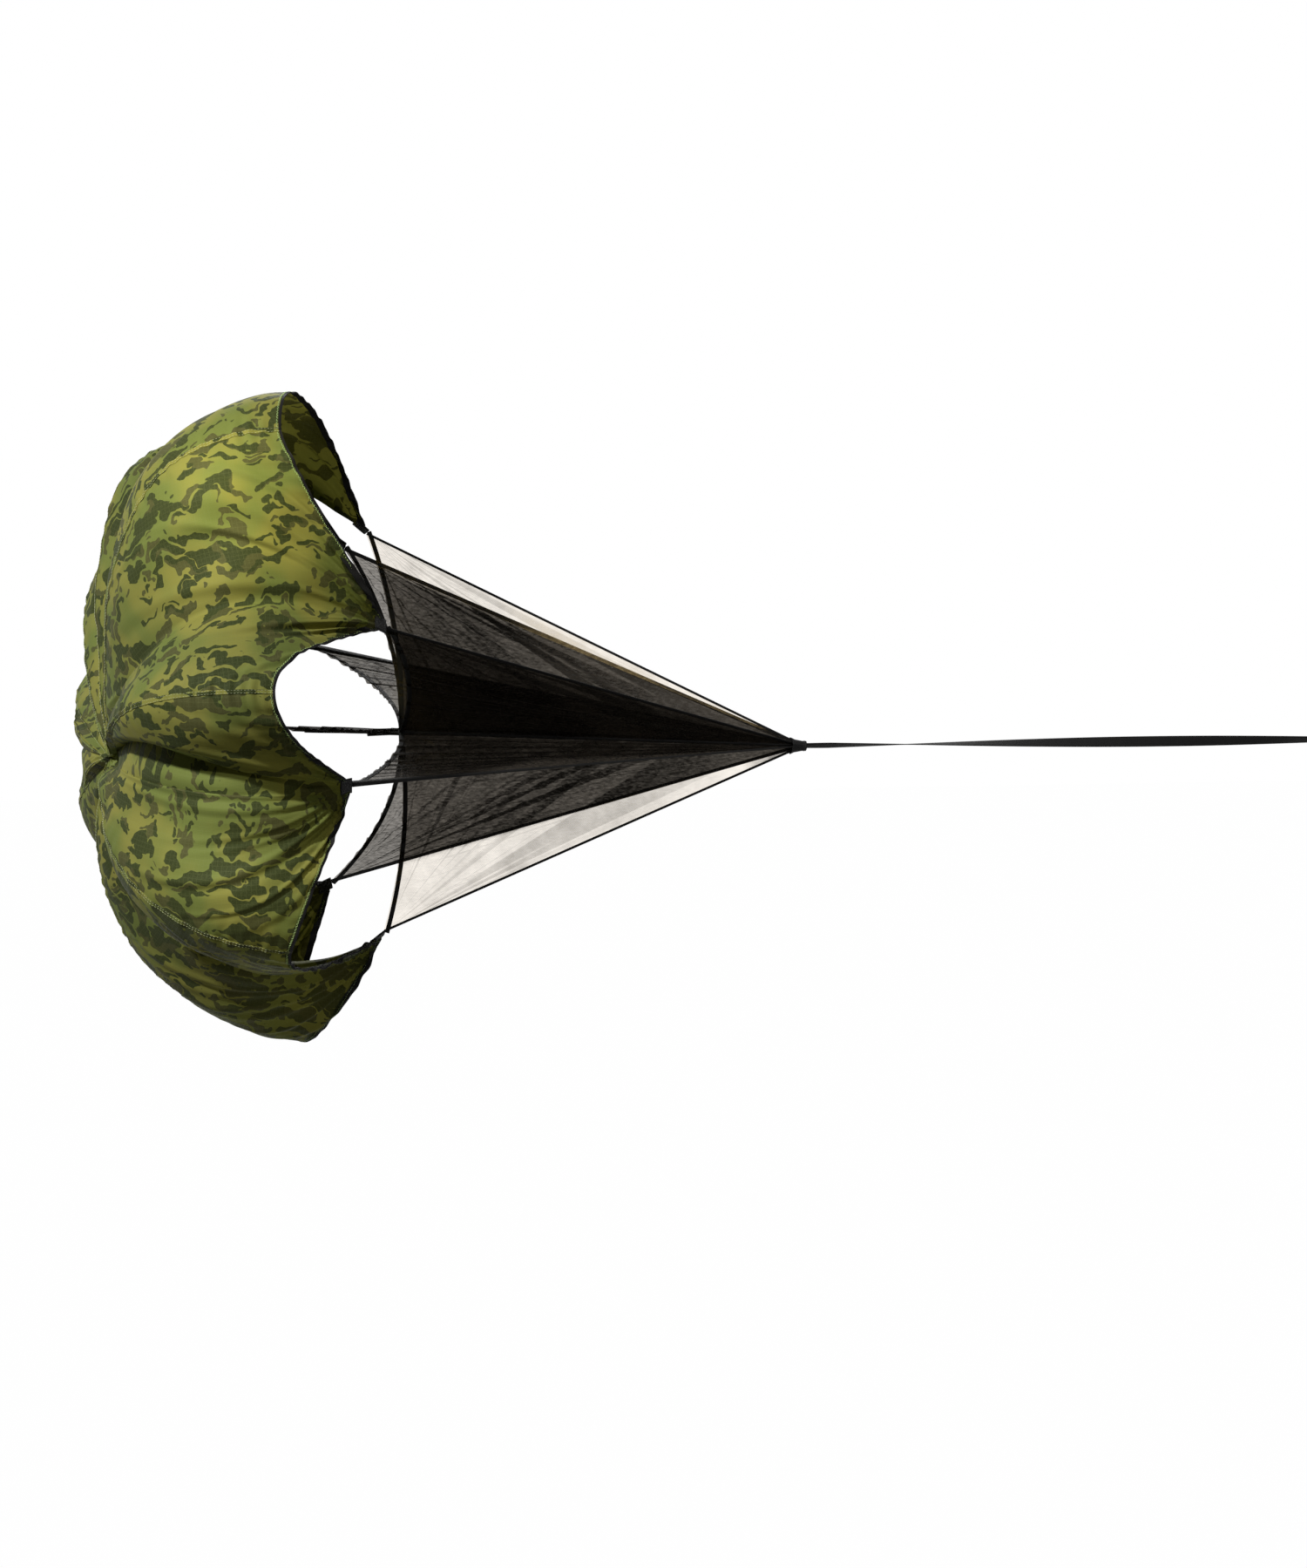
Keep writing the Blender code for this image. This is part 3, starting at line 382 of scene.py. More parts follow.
LOBE_ANGLES = (31, 82, 133, 191, 244, 281, 312.5, 343)
LOBE_RADIUS_SHARES = (1.04, 0.93, 0.93, 1.0, 0.97, 0.94, 0.98, 0.98)
LOBE_BACK_SHARES = (1.20, 1.34, 1.05, 0.58, 1.0, 1.15, 1.0, 0.9)
LOBE_FULL_SHARES = (1.3, 1.15, 1.05, 1.1, 1.15, 1.2, 1.32, 1.6)
LOBE_SWELL = 0.05
SWELL_BEFORE_SHARES = (0.3, 0.0, 0.0, 0.0, 0.0, 0.0, 0.0, 0.0)
SWELL_AFTER_SHARES = (1.0, 0.0, 0.2, 0.15, 0.0, 0.0, 0.0, 0.0)
CROWN_LONG = 3 * VALLEY_SHOULDER
CROWN_SHARE = CROWN_ROUND / CROWN_LONG
CHUTE_PITCH = 2.5
NUDGE = 0.002
NET_COLUMNS, NET_ROWS, NET_ROUNDS = 25, 31, 700
NET_SLANT, NET_HASTE = 0.12, 1.6
LAYOUTS_APART = np.array([1.3, 0.77])
RIPSTOP_PITCH, CLOTH_PITCH = 0.006, 0.0016


def corner_controls(k):
    radius = CORNER_RADIUS * CORNER_RADIUS_SHARES[k]
    back = CORNER_BACK * CORNER_BACK_SHARES[k]
    shallow = 1 - VALLEY_SHARES[k]
    shoulder = VALLEY_SHOULDER + shallow * (RIDGE_SHOULDER - VALLEY_SHOULDER)
    proud = VALLEY_PROUD + shallow * (RIDGE_PROUD - VALLEY_PROUD)
    full = (LOBE_FULL_SHARES[k - 1] + LOBE_FULL_SHARES[k]) / 2
    ear = (radius + EAR_RISE + shallow * EAR_FILL_RISE, back + EAR_RUN + shallow * EAR_FILL_RUN)
    return (0.0, CANOPY_DEEP - CROWN_DIMPLE), (shoulder * full, CANOPY_DEEP + proud), ear, (radius, back)


def lobe_controls(k):
    radius = LOBE_RADIUS * LOBE_RADIUS_SHARES[k]
    back = LOBE_BACK * LOBE_BACK_SHARES[k]
    shoulder = (RIDGE_SHOULDER * LOBE_FULL_SHARES[k], CANOPY_DEEP + RIDGE_PROUD)
    lip = (radius - LIP_DRAWN_IN, back + LIP_RUN * (1 + LOBE_FULL_SHARES[k]) / 2)
    return (0.0, CANOPY_DEEP - CROWN_DIMPLE), shoulder, lip, (radius, back)


def wrapped(angle, near):
    return near + (angle - near + 180) % 360 - 180


def length(vectors):
    return np.linalg.norm(vectors, axis=-1)


def unit(vectors):
    return vectors / np.linalg.norm(vectors, axis=-1, keepdims=True)


def bell(values):
    """1 at 0, falling smoothly to almost 0 at 2 and -2."""
    return np.exp(-(values**2))


def running(points):
    """Lengths along a line of points, from 0 at its first one."""
    return np.concatenate([[0], np.cumsum(length(np.diff(points, axis=0)))])


def matched(side, down):
    return np.broadcast_arrays(np.asarray(side, float), np.asarray(down, float))


def smooth_canopy(gore, side, down):
    """Points of the filled canopy. side runs from seam to seam as -1 to 1, down from the crown."""
    side, down = matched(side, down)
    after, away = side >= 0, np.abs(side)
    rise = np.sin(np.pi / 2 * away**1.15)
    before_lobe, after_lobe = (gore - 1) % GORES, gore
    controls = corner_controls(gore), lobe_controls(after_lobe), lobe_controls(before_lobe)
    radius, back = np.zeros(side.shape), np.zeros(side.shape)
    left = 1 - down
    weights = (left**3, 3 * left**2 * down, 3 * left * down**2, down**3)
    for share, p, a, b in zip(weights, *controls):
        radius = radius + share * (p[0] + rise * (np.where(after, a[0], b[0]) - p[0]))
        back = back + share * (p[1] + rise * (np.where(after, a[1], b[1]) - p[1]))
    swell = np.where(after, SWELL_AFTER_SHARES[gore], SWELL_BEFORE_SHARES[gore])
    radius = radius + LOBE_SWELL * swell * np.sin(np.pi * away) * down**2
    envelope = 27 / 4 * down**2 * left
    radius = radius + FOLD_DEPTH * envelope * np.sin(4 * np.pi * away) * (1 - away)
    corner = CORNER_ANGLES[gore]
    ahead, behind = (wrapped(LOBE_ANGLES[lobe], corner) for lobe in (after_lobe, before_lobe))
    angle = np.radians(corner + (np.where(after, ahead, behind) - corner) * away**0.9)
    drop = CROWN_DROP * left**2
    return np.stack([-HEM_X - back, -radius * np.sin(angle), radius * np.cos(angle) - drop], -1)


def directions(gore, side, down):
    """Unit vectors of the smooth canopy: along side, along down and out of the bowl."""
    side, down = matched(side, down)
    low, high = np.maximum(side - NUDGE, -1), np.minimum(side + NUDGE, 1)
    across = unit(smooth_canopy(gore, high, down) - smooth_canopy(gore, low, down))
    lower = np.minimum(down + NUDGE, 1)
    along = unit(smooth_canopy(gore, side, lower) - smooth_canopy(gore, side, lower - 2 * NUDGE))
    out = unit(np.cross(across, along))
    inside = np.array([-HEM_X - LOBE_BACK, 0, 0])
    towards = np.sum(out * (smooth_canopy(gore, side, down) - inside), -1, keepdims=True)
    return across, along, np.where(towards > 0, out, -out)


def waves(values, seed, count=5):
    """A smooth wandering number between about -1 and 1, for uneven folds."""
    random = np.random.default_rng(seed)
    total = np.zeros(np.shape(values))
    for _ in range(count):
        total = total + np.sin(values * random.uniform(0.6, 2.4) + random.uniform(0, 2 * math.pi))
    return total / math.sqrt(2 * count)


def near_ear(gore, points):
    """Distance from the ear's point and the angle round it, 0 towards the crown."""
    across, along, _ = directions(gore, 0.0, 0.999)
    apart = points - smooth_canopy(gore, 0, 1)
    return length(apart), np.arctan2(np.sum(apart * across, -1), -np.sum(apart * along, -1))


def fan_of_creases(gore, points):
    """Long creases that the pull on the ear draws into the cloth."""
    distance, angle = near_ear(gore, points)
    random = np.random.default_rng(40 + gore)
    height = np.zeros(distance.shape)
    places = np.linspace(-1.3, 1.3, 21) + random.uniform(-0.05, 0.05, 21)
    for place in places:
        width = random.uniform(0.014, 0.036)
        deep = random.uniform(0.0028, 0.0095)
        reach = random.uniform(0.09, 0.24)
        bend = angle - place - 0.35 * random.uniform(-1, 1) * distance
        ridge = bell(bend / width) - 0.6 * bell((bend - 1.9 * width) / width)
        height = height + deep * ridge * np.exp(-distance / reach)
    return height * np.clip((distance - 0.012) / 0.03, 0, 1)


def valley_crease(gore, side, down, points):
    """The sharp line that the pull between ear and crown draws down the gore, the swell beside it
    and the fuller cloth where a valley is filled."""
    track = VALLEY_TRACKS[gore] * (1 - down)
    away = length(points - smooth_canopy(gore, track, down))
    deep = CREASE_DEEP + VALLEY_DEEP * VALLEY_SHARES[gore] ** 2
    ends = np.sin(np.pi * np.clip(down, 0, 1) ** 0.7) ** 0.6
    beyond = np.where(side > track, away, 0)
    filled = VALLEY_FILLS.get(gore, 0) * bell(away / FILL_WIDE) * bell((down - FILL_AT) / FILL_LONG)
    swell = -1.1 * VALLEY_TRACKS[gore] * VALLEY_DEEP * bell((beyond - SWELL_AT) / SWELL_WIDE) * (beyond > 0)
    crease = deep * np.exp(-((away / CREASE_WIDE) ** 0.9))
    return filled + ends * (swell * np.clip(beyond / 0.02, 0, 1) - crease)


def hem_ruffle(gore, side, down, points):
    """Small ripples that the tight binding gathers into the hem."""
    edge = smooth_canopy(gore, side, 1.0)
    run = length(edge - smooth_canopy(gore, 0, 1)) * np.sign(side)
    deep = np.where((gore == 3) & (side < 0), FULL_HEM_RIPPLE, HEM_RIPPLE)
    fade = np.exp(-length(points - edge) / 0.026)
    return deep * fade * waves(run * 150, 70 + gore) * np.clip(np.abs(run) / 0.03, 0, 1)


def seam_pucker(gore, side, down, points):
    """Short ripples that the stitching draws across the seams."""
    seam = smooth_canopy(gore, np.where(side >= 0, 1.0, -1.0), down)
    away = length(points - seam)
    lobe = np.where(side >= 0, gore, (gore - 1) % GORES)
    height = np.zeros(np.shape(away))
    for number in range(GORES):
        height = height + np.where(lobe == number, waves(down * 0.55 * 170, 90 + number), 0)
    return SEAM_RIPPLE * np.exp(-away / 0.022) * height * np.clip((down - 0.05) / 0.1, 0, 1)


def crown_pucker(points):
    """Radiating puckers where sixteen edges are gathered under the crown's patch."""
    apart = points - np.array([-HEM_X - CANOPY_DEEP + CROWN_DIMPLE, 0, -CROWN_DROP])
    distance = np.hypot(apart[..., 1], apart[..., 2])
    turn = np.arctan2(apart[..., 1], apart[..., 2])
    ripple = np.sin(24 * turn) + 0.7 * np.sin(17 * turn + 1) + 0.5 * np.sin(9 * turn + 2)
    return CROWN_RIPPLE * ripple * bell(distance / 0.06) * np.clip(distance / 0.02, 0, 1)


def billow(points):
    """Broad unevenness of cloth that the air shakes."""
    x, y, z = points[..., 0], points[..., 1], points[..., 2]
    slow = waves(x * 14 + y * 9, 11) + waves(y * 15 - z * 10, 12) + waves(z * 16 + x * 8, 13)
    quick = waves(x * 34 - z * 23, 14) + waves(y * 36 + z * 20, 15)
    return SLOW_BILLOW * slow + QUICK_BILLOW * quick


def canopy(gore, side, down):
    """Points of the canopy's cloth with all its creases, before the chute's pitch."""
    side, down = matched(side, down)
    points = smooth_canopy(gore, side, down)
    free = 1 - np.abs(side) ** 6
    height = fan_of_creases(gore, points) * free + valley_crease(gore, side, down, points)
    height = height + hem_ruffle(gore, side, down, points)
    height = height + seam_pucker(gore, side, down, points) + crown_pucker(points) + billow(points)
    hold = np.clip(near_ear(gore, points)[0] / 0.05, 0, 1)
    return points + directions(gore, side, down)[2] * (height * hold)[..., None]


def in_flight(points):
    """Places points of the chute's own frame, which is pitched about the gathered apex."""
    c, s = math.cos(math.radians(CHUTE_PITCH)), math.sin(math.radians(CHUTE_PITCH))
    points = np.asarray(points, float)
    x, y, z = points[..., 0], points[..., 1], points[..., 2]
    return np.stack([x * c + z * s + APEX_X, y, -x * s + z * c], -1)


def islands(place, scale, small, large, turn, offset=(0, 0, 0)):
    """Separate long blotches of many sizes: 1 inside them and 0 between them."""
    cells = place.mapped(offset, turn, (1.0, 0.45, 1))
    inputs = {"Vector": cells, "Scale": scale, "Smoothness": 0.34, "Randomness": 0.95}
    kind = {"voronoi_dimensions": "2D", "feature": "SMOOTH_F1"}
    near = cells.node("ShaderNodeTexVoronoi", inputs, "Distance", **kind)
    draw = cells.node("ShaderNodeTexVoronoi", inputs, "Color", **kind).part(0)
    return (small + draw * (large - small) - near).step(-0.012, 0.012)


def camouflage_finish():
    """Thin ripstop polyester printed with two tones of blotch over khaki, which lets light through."""
    cloth = Finish("camouflage polyester", (0.3, 0.3, 0.1), 0.5, Specular_IOR_Level=0.04)
    flat = ragged = cloth.laid_out("cloth")
    for scale, push in ((14, 0.04), (42, 0.022), (120, 0.006)):
        inputs = {0: push, 1: ragged, 2: flat.noise(scale, 0.5, 0.5, out=1)}
        ragged = flat.node("ShaderNodeMixRGB", inputs, blend_type="LINEAR_LIGHT")
    dark = islands(ragged, 46, 0.12, 0.50, 0.9)
    mid = islands(ragged, 44, 0.07, 0.49, 1.2, (3.1, 1.7, 0))
    ground = flat.noise(9, 2, 0.5).step(0.40, 0.60).blend((0.132, 0.162, 0.040), (0.216, 0.208, 0.048))
    printed = dark.blend(mid.blend(ground, (0.056, 0.056, 0.020)), (0.024, 0.031, 0.010))
    ways = flat.part(0), flat.part(1)
    warp, weft = (way.ripple(CLOTH_PITCH) * 0.5 + 0.5 for way in ways)
    cords = [way.ripple(RIPSTOP_PITCH).step(0.9, 1.0) for way in ways]
    rib = cords[0].most(cords[1])
    speckle = flat.noise(620, 2, 0.6).step(0.3, 0.7)
    cloth.feed(Base_Color=(rib * 0.1 + speckle * 0.1).blend(printed, (0.21, 0.23, 0.09)))
    cloth.feed(Roughness=0.62 - rib * 0.12)
    cloth.raise_by(warp * 0.3 + weft * 0.3 + rib * 0.4, 0.0002, 0.6)
    thin = flat.node("ShaderNodeBsdfTranslucent", {"Color": (0.42, 0.40, 0.06, 1)})
    own = Shade(cloth.tree, cloth.shader.outputs[0])
    cloth.mix_shaders(0.20 - dark.most(mid) * 0.14, own, thin)
    return cloth.material


def grid_faces(rows, columns):
    faces = []
    for r in range(rows - 1):
        for a in range(r * columns, (r + 1) * columns - 1):
            faces.append((a, a + 1, a + columns + 1, a + columns))
    return faces


def flat_cut(gore, sides, downs):
    """Lays the gore's cloth out flat in metres, by letting a net of springs settle in the plane."""
    net_sides, net_downs = np.linspace(-1, 1, NET_COLUMNS), np.linspace(CROWN_SHARE, 1, NET_ROWS)
    points = smooth_canopy(gore, net_sides[None, :], net_downs[:, None])
    middle = NET_COLUMNS // 2
    across = np.array([running(row) for row in points])
    across = across - across[:, [middle]]
    flat = np.stack([across, running(points[:, middle])[:, None] - NET_SLANT * np.abs(across)], -1)
    links = []
    for rows, columns in ((0, 1), (1, 0), (1, 1), (1, -1), (0, 3), (3, 0), (2, 3), (2, -3)):
        low, high = max(0, -columns), max(0, columns)
        first = slice(0, NET_ROWS - rows), slice(low, NET_COLUMNS - high)
        last = slice(rows, NET_ROWS), slice(high, NET_COLUMNS - low)
        links.append((first, last, length(points[last] - points[first])[..., None]))
    for _ in range(NET_ROUNDS):
        move, count = np.zeros(flat.shape), np.zeros((NET_ROWS, NET_COLUMNS, 1))
        for first, last, rest in links:
            apart = flat[last] - flat[first]
            pull = apart * (0.5 - 0.5 * rest / length(apart)[..., None])
            move[first] += pull
            move[last] -= pull
            count[first] += 1
            count[last] += 1
        flat += move / count * NET_HASTE
    fine = np.stack([[np.interp(sides, net_sides, row[:, i]) for row in flat] for i in (0, 1)], -1)
    columns = range(len(sides))
    fine = np.stack([[np.interp(downs, net_downs, fine[:, c, i]) for c in columns] for i in (0, 1)], -1)
    return fine.transpose(1, 0, 2) + LAYOUTS_APART * gore


def area_of(points):
    """Area in square metres of a grid of points."""
    one, two = points[1:, :-1] - points[:-1, :-1], points[:-1, 1:] - points[:-1, :-1]
    return float(length(np.cross(one, two)).sum())


camouflage = camouflage_finish()
sides, downs = np.linspace(-1, 1, GORE_COLUMNS + 1), np.linspace(CROWN_SHARE, 1, GORE_ROWS + 1)
for gore in range(GORES):
    cloth = canopy(gore, sides[None, :], downs[:, None])
    layout = flat_cut(gore, sides, downs).reshape(-1, 2)
    faces = grid_faces(*cloth.shape[:2])
    points = in_flight(cloth).reshape(-1, 3)
    piece = add_piece(f"gore_cloth_{gore + 1}", points, faces, camouflage, {"cloth": layout})
    dress(piece, "chute", f"canopy_gore_{gore + 1}")
    flat = float(np.ptp(layout[:, 0])), float(np.ptp(layout[:, 1]))
    area_of(cloth)


# Gore seams: each lapped seam stands a little proud of the cloth and is topstitched in two rows of
# pale thread from the crown to the hem. The same cloth as the gores, folded.

SEAM_WIDE, SEAM_PROUD, SEAM_SUNK = 0.009, 0.0008, -0.0002
SEAM_LAYOUT_AT = (0.4, 0)
SEAM_SHARES = np.array([-1, -0.93, -0.4, 0.4, 0.93, 1])
SEAM_DOWNS = np.linspace(CROWN_SHARE * 0.9, 0.994, 180)
TOPSTITCH_SHARE, TOPSTITCH_PITCH = 0.62, 0.0042
THREAD = 0.00042
STITCH_LONG = 0.0030


def thread_finish(name, colour):
    thread = Finish(name, colour, 0.5)
    grain = thread.source("ShaderNodeTexCoord", "Object").noise(900, 2)
    thread.feed(Roughness=0.42 + grain * 0.2)
    thread.raise_by(grain, 0.0001)
    return thread.material


def stitch_tree():
    """Geometry nodes that lay stitches along a line whose points know which way the cloth faces."""
    tree = bpy.data.node_groups.new("row of stitches", "GeometryNodeTree")
    sockets = [("Geometry", "INPUT", "Geometry")]
    sockets += [(name, "INPUT", "Float") for name in ("Spacing", "Length", "Thickness", "Lean")]
    sockets += [("Thread", "INPUT", "Material"), ("Geometry", "OUTPUT", "Geometry")]
    for name, way, kind in sockets:
        tree.interface.new_socket(name, in_out=way, socket_type="NodeSocket" + kind)

    def add(kind, inputs, **settings):
        node = tree.nodes.new(kind)
        for setting, value in settings.items():
            setattr(node, setting, value)
        for place, value in inputs.items():
            if isinstance(value, bpy.types.NodeSocket):
                tree.links.new(value, node.inputs[place])
            else:
                node.inputs[place].default_value = value
        return node.outputs[0]

    given = tree.nodes.new("NodeGroupInput").outputs
    line = add("GeometryNodeMeshToCurve", {0: given["Geometry"]})
    even = add("GeometryNodeResampleCurve", {"Curve": line, "Length": given["Spacing"]}, mode="LENGTH")
    stitch = add("GeometryNodeMeshUVSphere", {"Segments": 6, "Rings": 5, "Radius": 0.5})
    out = add("GeometryNodeInputNamedAttribute", {"Name": "out"}, data_type="FLOAT_VECTOR")
    upright = add("FunctionNodeAlignRotationToVector", {"Vector": out}, axis="Z")
    follow = {"Rotation": upright, "Vector": add("GeometryNodeInputTangent", {})}
    turned = add("FunctionNodeAlignRotationToVector", follow, axis="X", pivot_axis="Z")
    thick = given["Thickness"]
    size = add("ShaderNodeCombineXYZ", {"X": given["Length"], "Y": thick, "Z": thick})
    each = {"Points": even, "Instance": stitch, "Rotation": turned, "Scale": size}
    placed = add("GeometryNodeInstanceOnPoints", each)
    odd = add("ShaderNodeMath", {0: add("GeometryNodeInputIndex", {}), 1: 2}, operation="MODULO")
    either_way = add("ShaderNodeMath", {0: odd, 1: 2, 2: -1}, operation="MULTIPLY_ADD")
    lean = add("ShaderNodeMath", {0: either_way, 1: given["Lean"]}, operation="MULTIPLY")
    about = add("ShaderNodeCombineXYZ", {"Z": lean})
    leaning = add("GeometryNodeRotateInstances", {"Instances": placed, "Rotation": about})
    real = add("GeometryNodeRealizeInstances", {0: leaning})
    painted = add("GeometryNodeSetMaterial", {"Geometry": real, "Material": given["Thread"]})
    tree.links.new(painted, tree.nodes.new("NodeGroupOutput").inputs[0])
    return tree


def sew(name, rows, thread, slot, spacing, long=STITCH_LONG, lean=0.0, thickness=THREAD):
    """One mesh of stitches along rows of points, each row given as points and outward directions."""
    points = np.concatenate([np.asarray(line, float) for line, _ in rows])
    outs = np.concatenate([np.asarray(out, float) for _, out in rows])
    edges, start = [], 0
    for line, _ in rows:
        edges += [(start + i, start + i + 1) for i in range(len(line) - 1)]
        start += len(line)
    mesh = bpy.data.meshes.new(name)
    mesh.from_pydata(points.tolist(), edges, [])
    mesh.attributes.new("out", "FLOAT_VECTOR", "POINT").data.foreach_set("vector", outs.ravel())
    guide = stand(name + " line", mesh)
    sewing = guide.modifiers.new("stitches", "NODES")
    sewing.node_group = stitches
    given = {"Spacing": spacing, "Length": long, "Thickness": thickness, "Lean": lean, "Thread": thread}
    for socket in stitches.interface.items_tree:
        if socket.in_out == "INPUT" and socket.name in given:
            sewing[socket.identifier] = given[socket.name]
    guide.update_tag()
    graph = bpy.context.evaluated_depsgraph_get()
    sewn = bpy.data.meshes.new_from_object(guide.evaluated_get(graph))
    bpy.data.objects.remove(guide)
    for attribute in [a.name for a in sewn.attributes if a.name == "out"]:
        sewn.attributes.remove(sewn.attributes[attribute])
    sewn.shade_smooth()
    piece = stand(name, sewn)
    dress(piece, "chute", None)
    return piece


def raised(gore, side, down, height):
    """Points of the creased canopy in flight, lifted off the cloth by the height."""
    side, down = matched(side, down)
    return in_flight(canopy(gore, side, down) + directions(gore, side, down)[2] * height)


def in_flight_direction(vectors):
    return in_flight(vectors) - in_flight(np.zeros(3))


def half_width(gore, sign, down):
    """Length of the gore from its middle to its seam at this depth, in metres."""
    line = smooth_canopy(gore, sign * np.linspace(0, 1, 9)[:, None], down[None, :])
    return length(np.diff(line, axis=0)).sum(0)


def beside_seam(gore, share):
    """A gore and its side shares, at a share of the lap's half width before or after the seam."""
    owner, sign = (gore, 1) if share < 0 else ((gore + 1) % GORES, -1)
    reach = np.minimum(SEAM_WIDE / 2 / half_width(owner, sign, SEAM_DOWNS), 0.3)
    return owner, sign + reach * share


stitches = stitch_tree()
pale_thread = thread_finish("pale olive thread", (0.42, 0.44, 0.24))
for gore in range(GORES):
    lines = []
    for share in SEAM_SHARES:
        height = SEAM_SUNK if abs(share) == 1 else SEAM_PROUD
        lines.append(raised(*beside_seam(gore, share), SEAM_DOWNS, height))
    rings = np.stack(lines, 1)
    across, along = SEAM_SHARES * SEAM_WIDE / 2, running(rings[:, 2])
    flat = np.stack([np.tile(across, len(along)), np.repeat(along, len(across))], -1)
    flat = flat + LAYOUTS_APART * gore + SEAM_LAYOUT_AT
    seam = shell(f"seam_lap_{gore + 1}", rings, camouflage, {"cloth": flat}, sharp=50)
    dress(seam, "chute", f"gore_seam_{gore + 1}")
    rows = []
    for share in (-TOPSTITCH_SHARE, TOPSTITCH_SHARE):
        owner, shares = beside_seam(gore, share)
        line = raised(owner, shares, SEAM_DOWNS, SEAM_PROUD + THREAD * 0.3)
        rows.append((line, in_flight_direction(directions(owner, shares, SEAM_DOWNS)[2])))
    sew(f"seam_stitches_{gore + 1}", rows, pale_thread, "camouflage_polyester", TOPSTITCH_PITCH)


# Hem bindings: black polyester tape folded over the canopy's raw edge, narrow outside and wide
# inside, and caught down with a zigzag of light green thread.

TAPE_RIB = 0.0009
BINDING_OUTSIDE, BINDING_INSIDE = 0.0028, 0.0072
BINDING_PROFILE = (
    *((BINDING_OUTSIDE, 0.0004), (BINDING_OUTSIDE, 0.0009), (0.0003, 0.0010), (-0.0007, 0.0005)),
    *((-0.0007, -0.0005), (0.0003, -0.0010), (BINDING_INSIDE, -0.0010), (BINDING_INSIDE, -0.0004)),
    *((0.0012, -0.0004), (0.0012, 0.0004)),
)
TAB_LONG, TAB_WIDE, TAB_THICK = 0.021, 0.019, 0.0022
TAB_CLEAR = 0.0012
HEM_STEPS, HEM_DOWN = 150, 0.9985
ZIGZAG_DEEP, ZIGZAG_PROUD, ZIGZAG_PITCH = 0.0046, 0.0005, 0.0021
ZIGZAG_LONG, ZIGZAG_LEAN, ZIGZAG_THREAD = 0.0032, math.radians(52), 0.0007


def tape_finish():
    """Black woven tape with a fine rib across it."""
    tape = Finish("black binding tape", (0.008, 0.008, 0.008), 0.6, Specular_IOR_Level=0.1)
    flat = tape.laid_out("webbing")
    ribs = flat.part(0).ripple(TAPE_RIB) * 0.5 + 0.5
    wear = flat.noise(140, 3)
    # Painted highlight: the rib crests are coloured lighter than their hollows, over random wear.
    tape.feed(Base_Color=(wear * 0.6 + ribs * 0.3).blend((0.003, 0.003, 0.003), (0.016, 0.0155, 0.015)))
    tape.feed(Roughness=0.55 + wear * 0.25)
    tape.raise_by(ribs, 0.00015)
    return tape.material


def hem_sides(gore, sign):
    """Places along the gore's hem between its tab and one seam, in the order of the binding."""
    shares = np.linspace(0, 1, 400)
    apart = length(smooth_canopy(gore, sign * shares, 1) - smooth_canopy(gore, 0, 1))
    clear = shares[apart > TAB_WIDE / 2 + TAB_CLEAR]
    return sign * np.linspace(clear[0], 1, HEM_STEPS)[::sign]


def hem_pace(gore, sides):
    """Metres of cloth at the hem for each whole share of down."""
    return length(smooth_canopy(gore, sides, 1) - smooth_canopy(gore, sides, 1 - NUDGE)) / NUDGE


def hem_rings(gore, sides):
    """Cross-sections of the folded binding along these places of the hem."""
    _, along, out = directions(gore, sides, HEM_DOWN)
    hem_way = unit(np.gradient(smooth_canopy(gore, sides, 1), axis=0))
    pace = hem_pace(gore, sides) * length(np.cross(hem_way, along))
    inwards = np.cross(out, hem_way)
    inwards *= -np.sign(np.sum(inwards * along, -1, keepdims=True))
    rings = []
    for depth, height in BINDING_PROFILE:
        at = canopy(gore, sides, 1 - max(depth, 0) / pace)
        rings.append(in_flight(at + out * height + inwards * min(depth, 0)))
    return np.stack(rings, 1)


tape = tape_finish()
green_thread = thread_finish("light green thread", (0.34, 0.47, 0.17))
black_thread = thread_finish("black thread", (0.018, 0.018, 0.018))
for gore in range(GORES):
    after = (gore + 1) % GORES
    halves = ((gore, hem_sides(gore, 1)), (after, hem_sides(after, -1)))
    ahead, back = (hem_rings(owner, sides) for owner, sides in halves)
    rings = np.concatenate([ahead, back[1:]])
    folds = [math.dist(a, b) for a, b in zip(BINDING_PROFILE, BINDING_PROFILE[1:])]
    run, across = running(rings[:, 3]), np.cumsum([0] + folds)
    flat = np.stack([np.repeat(run, len(across)), np.tile(across, len(run))], -1)
    binding = shell(f"hem_tape_{gore + 1}", rings, tape, {"webbing": flat}, sharp=60)
    dress(binding, "chute", f"hem_binding_{gore + 1}")
    rows = []
    for owner, sides in halves:
        line = raised(owner, sides, 1 - ZIGZAG_DEEP / hem_pace(owner, sides), ZIGZAG_PROUD)
        rows.append((line, in_flight_direction(directions(owner, sides, HEM_DOWN)[2])))
    zigzag = ZIGZAG_PITCH, ZIGZAG_LONG, ZIGZAG_LEAN, ZIGZAG_THREAD
    sew(f"hem_stitches_{gore + 1}", rows, green_thread, "camouflage_polyester", *zigzag)


# Crown patch: a small round of doubled cloth over the point where the eight seams meet, sewn down
# in a ring.

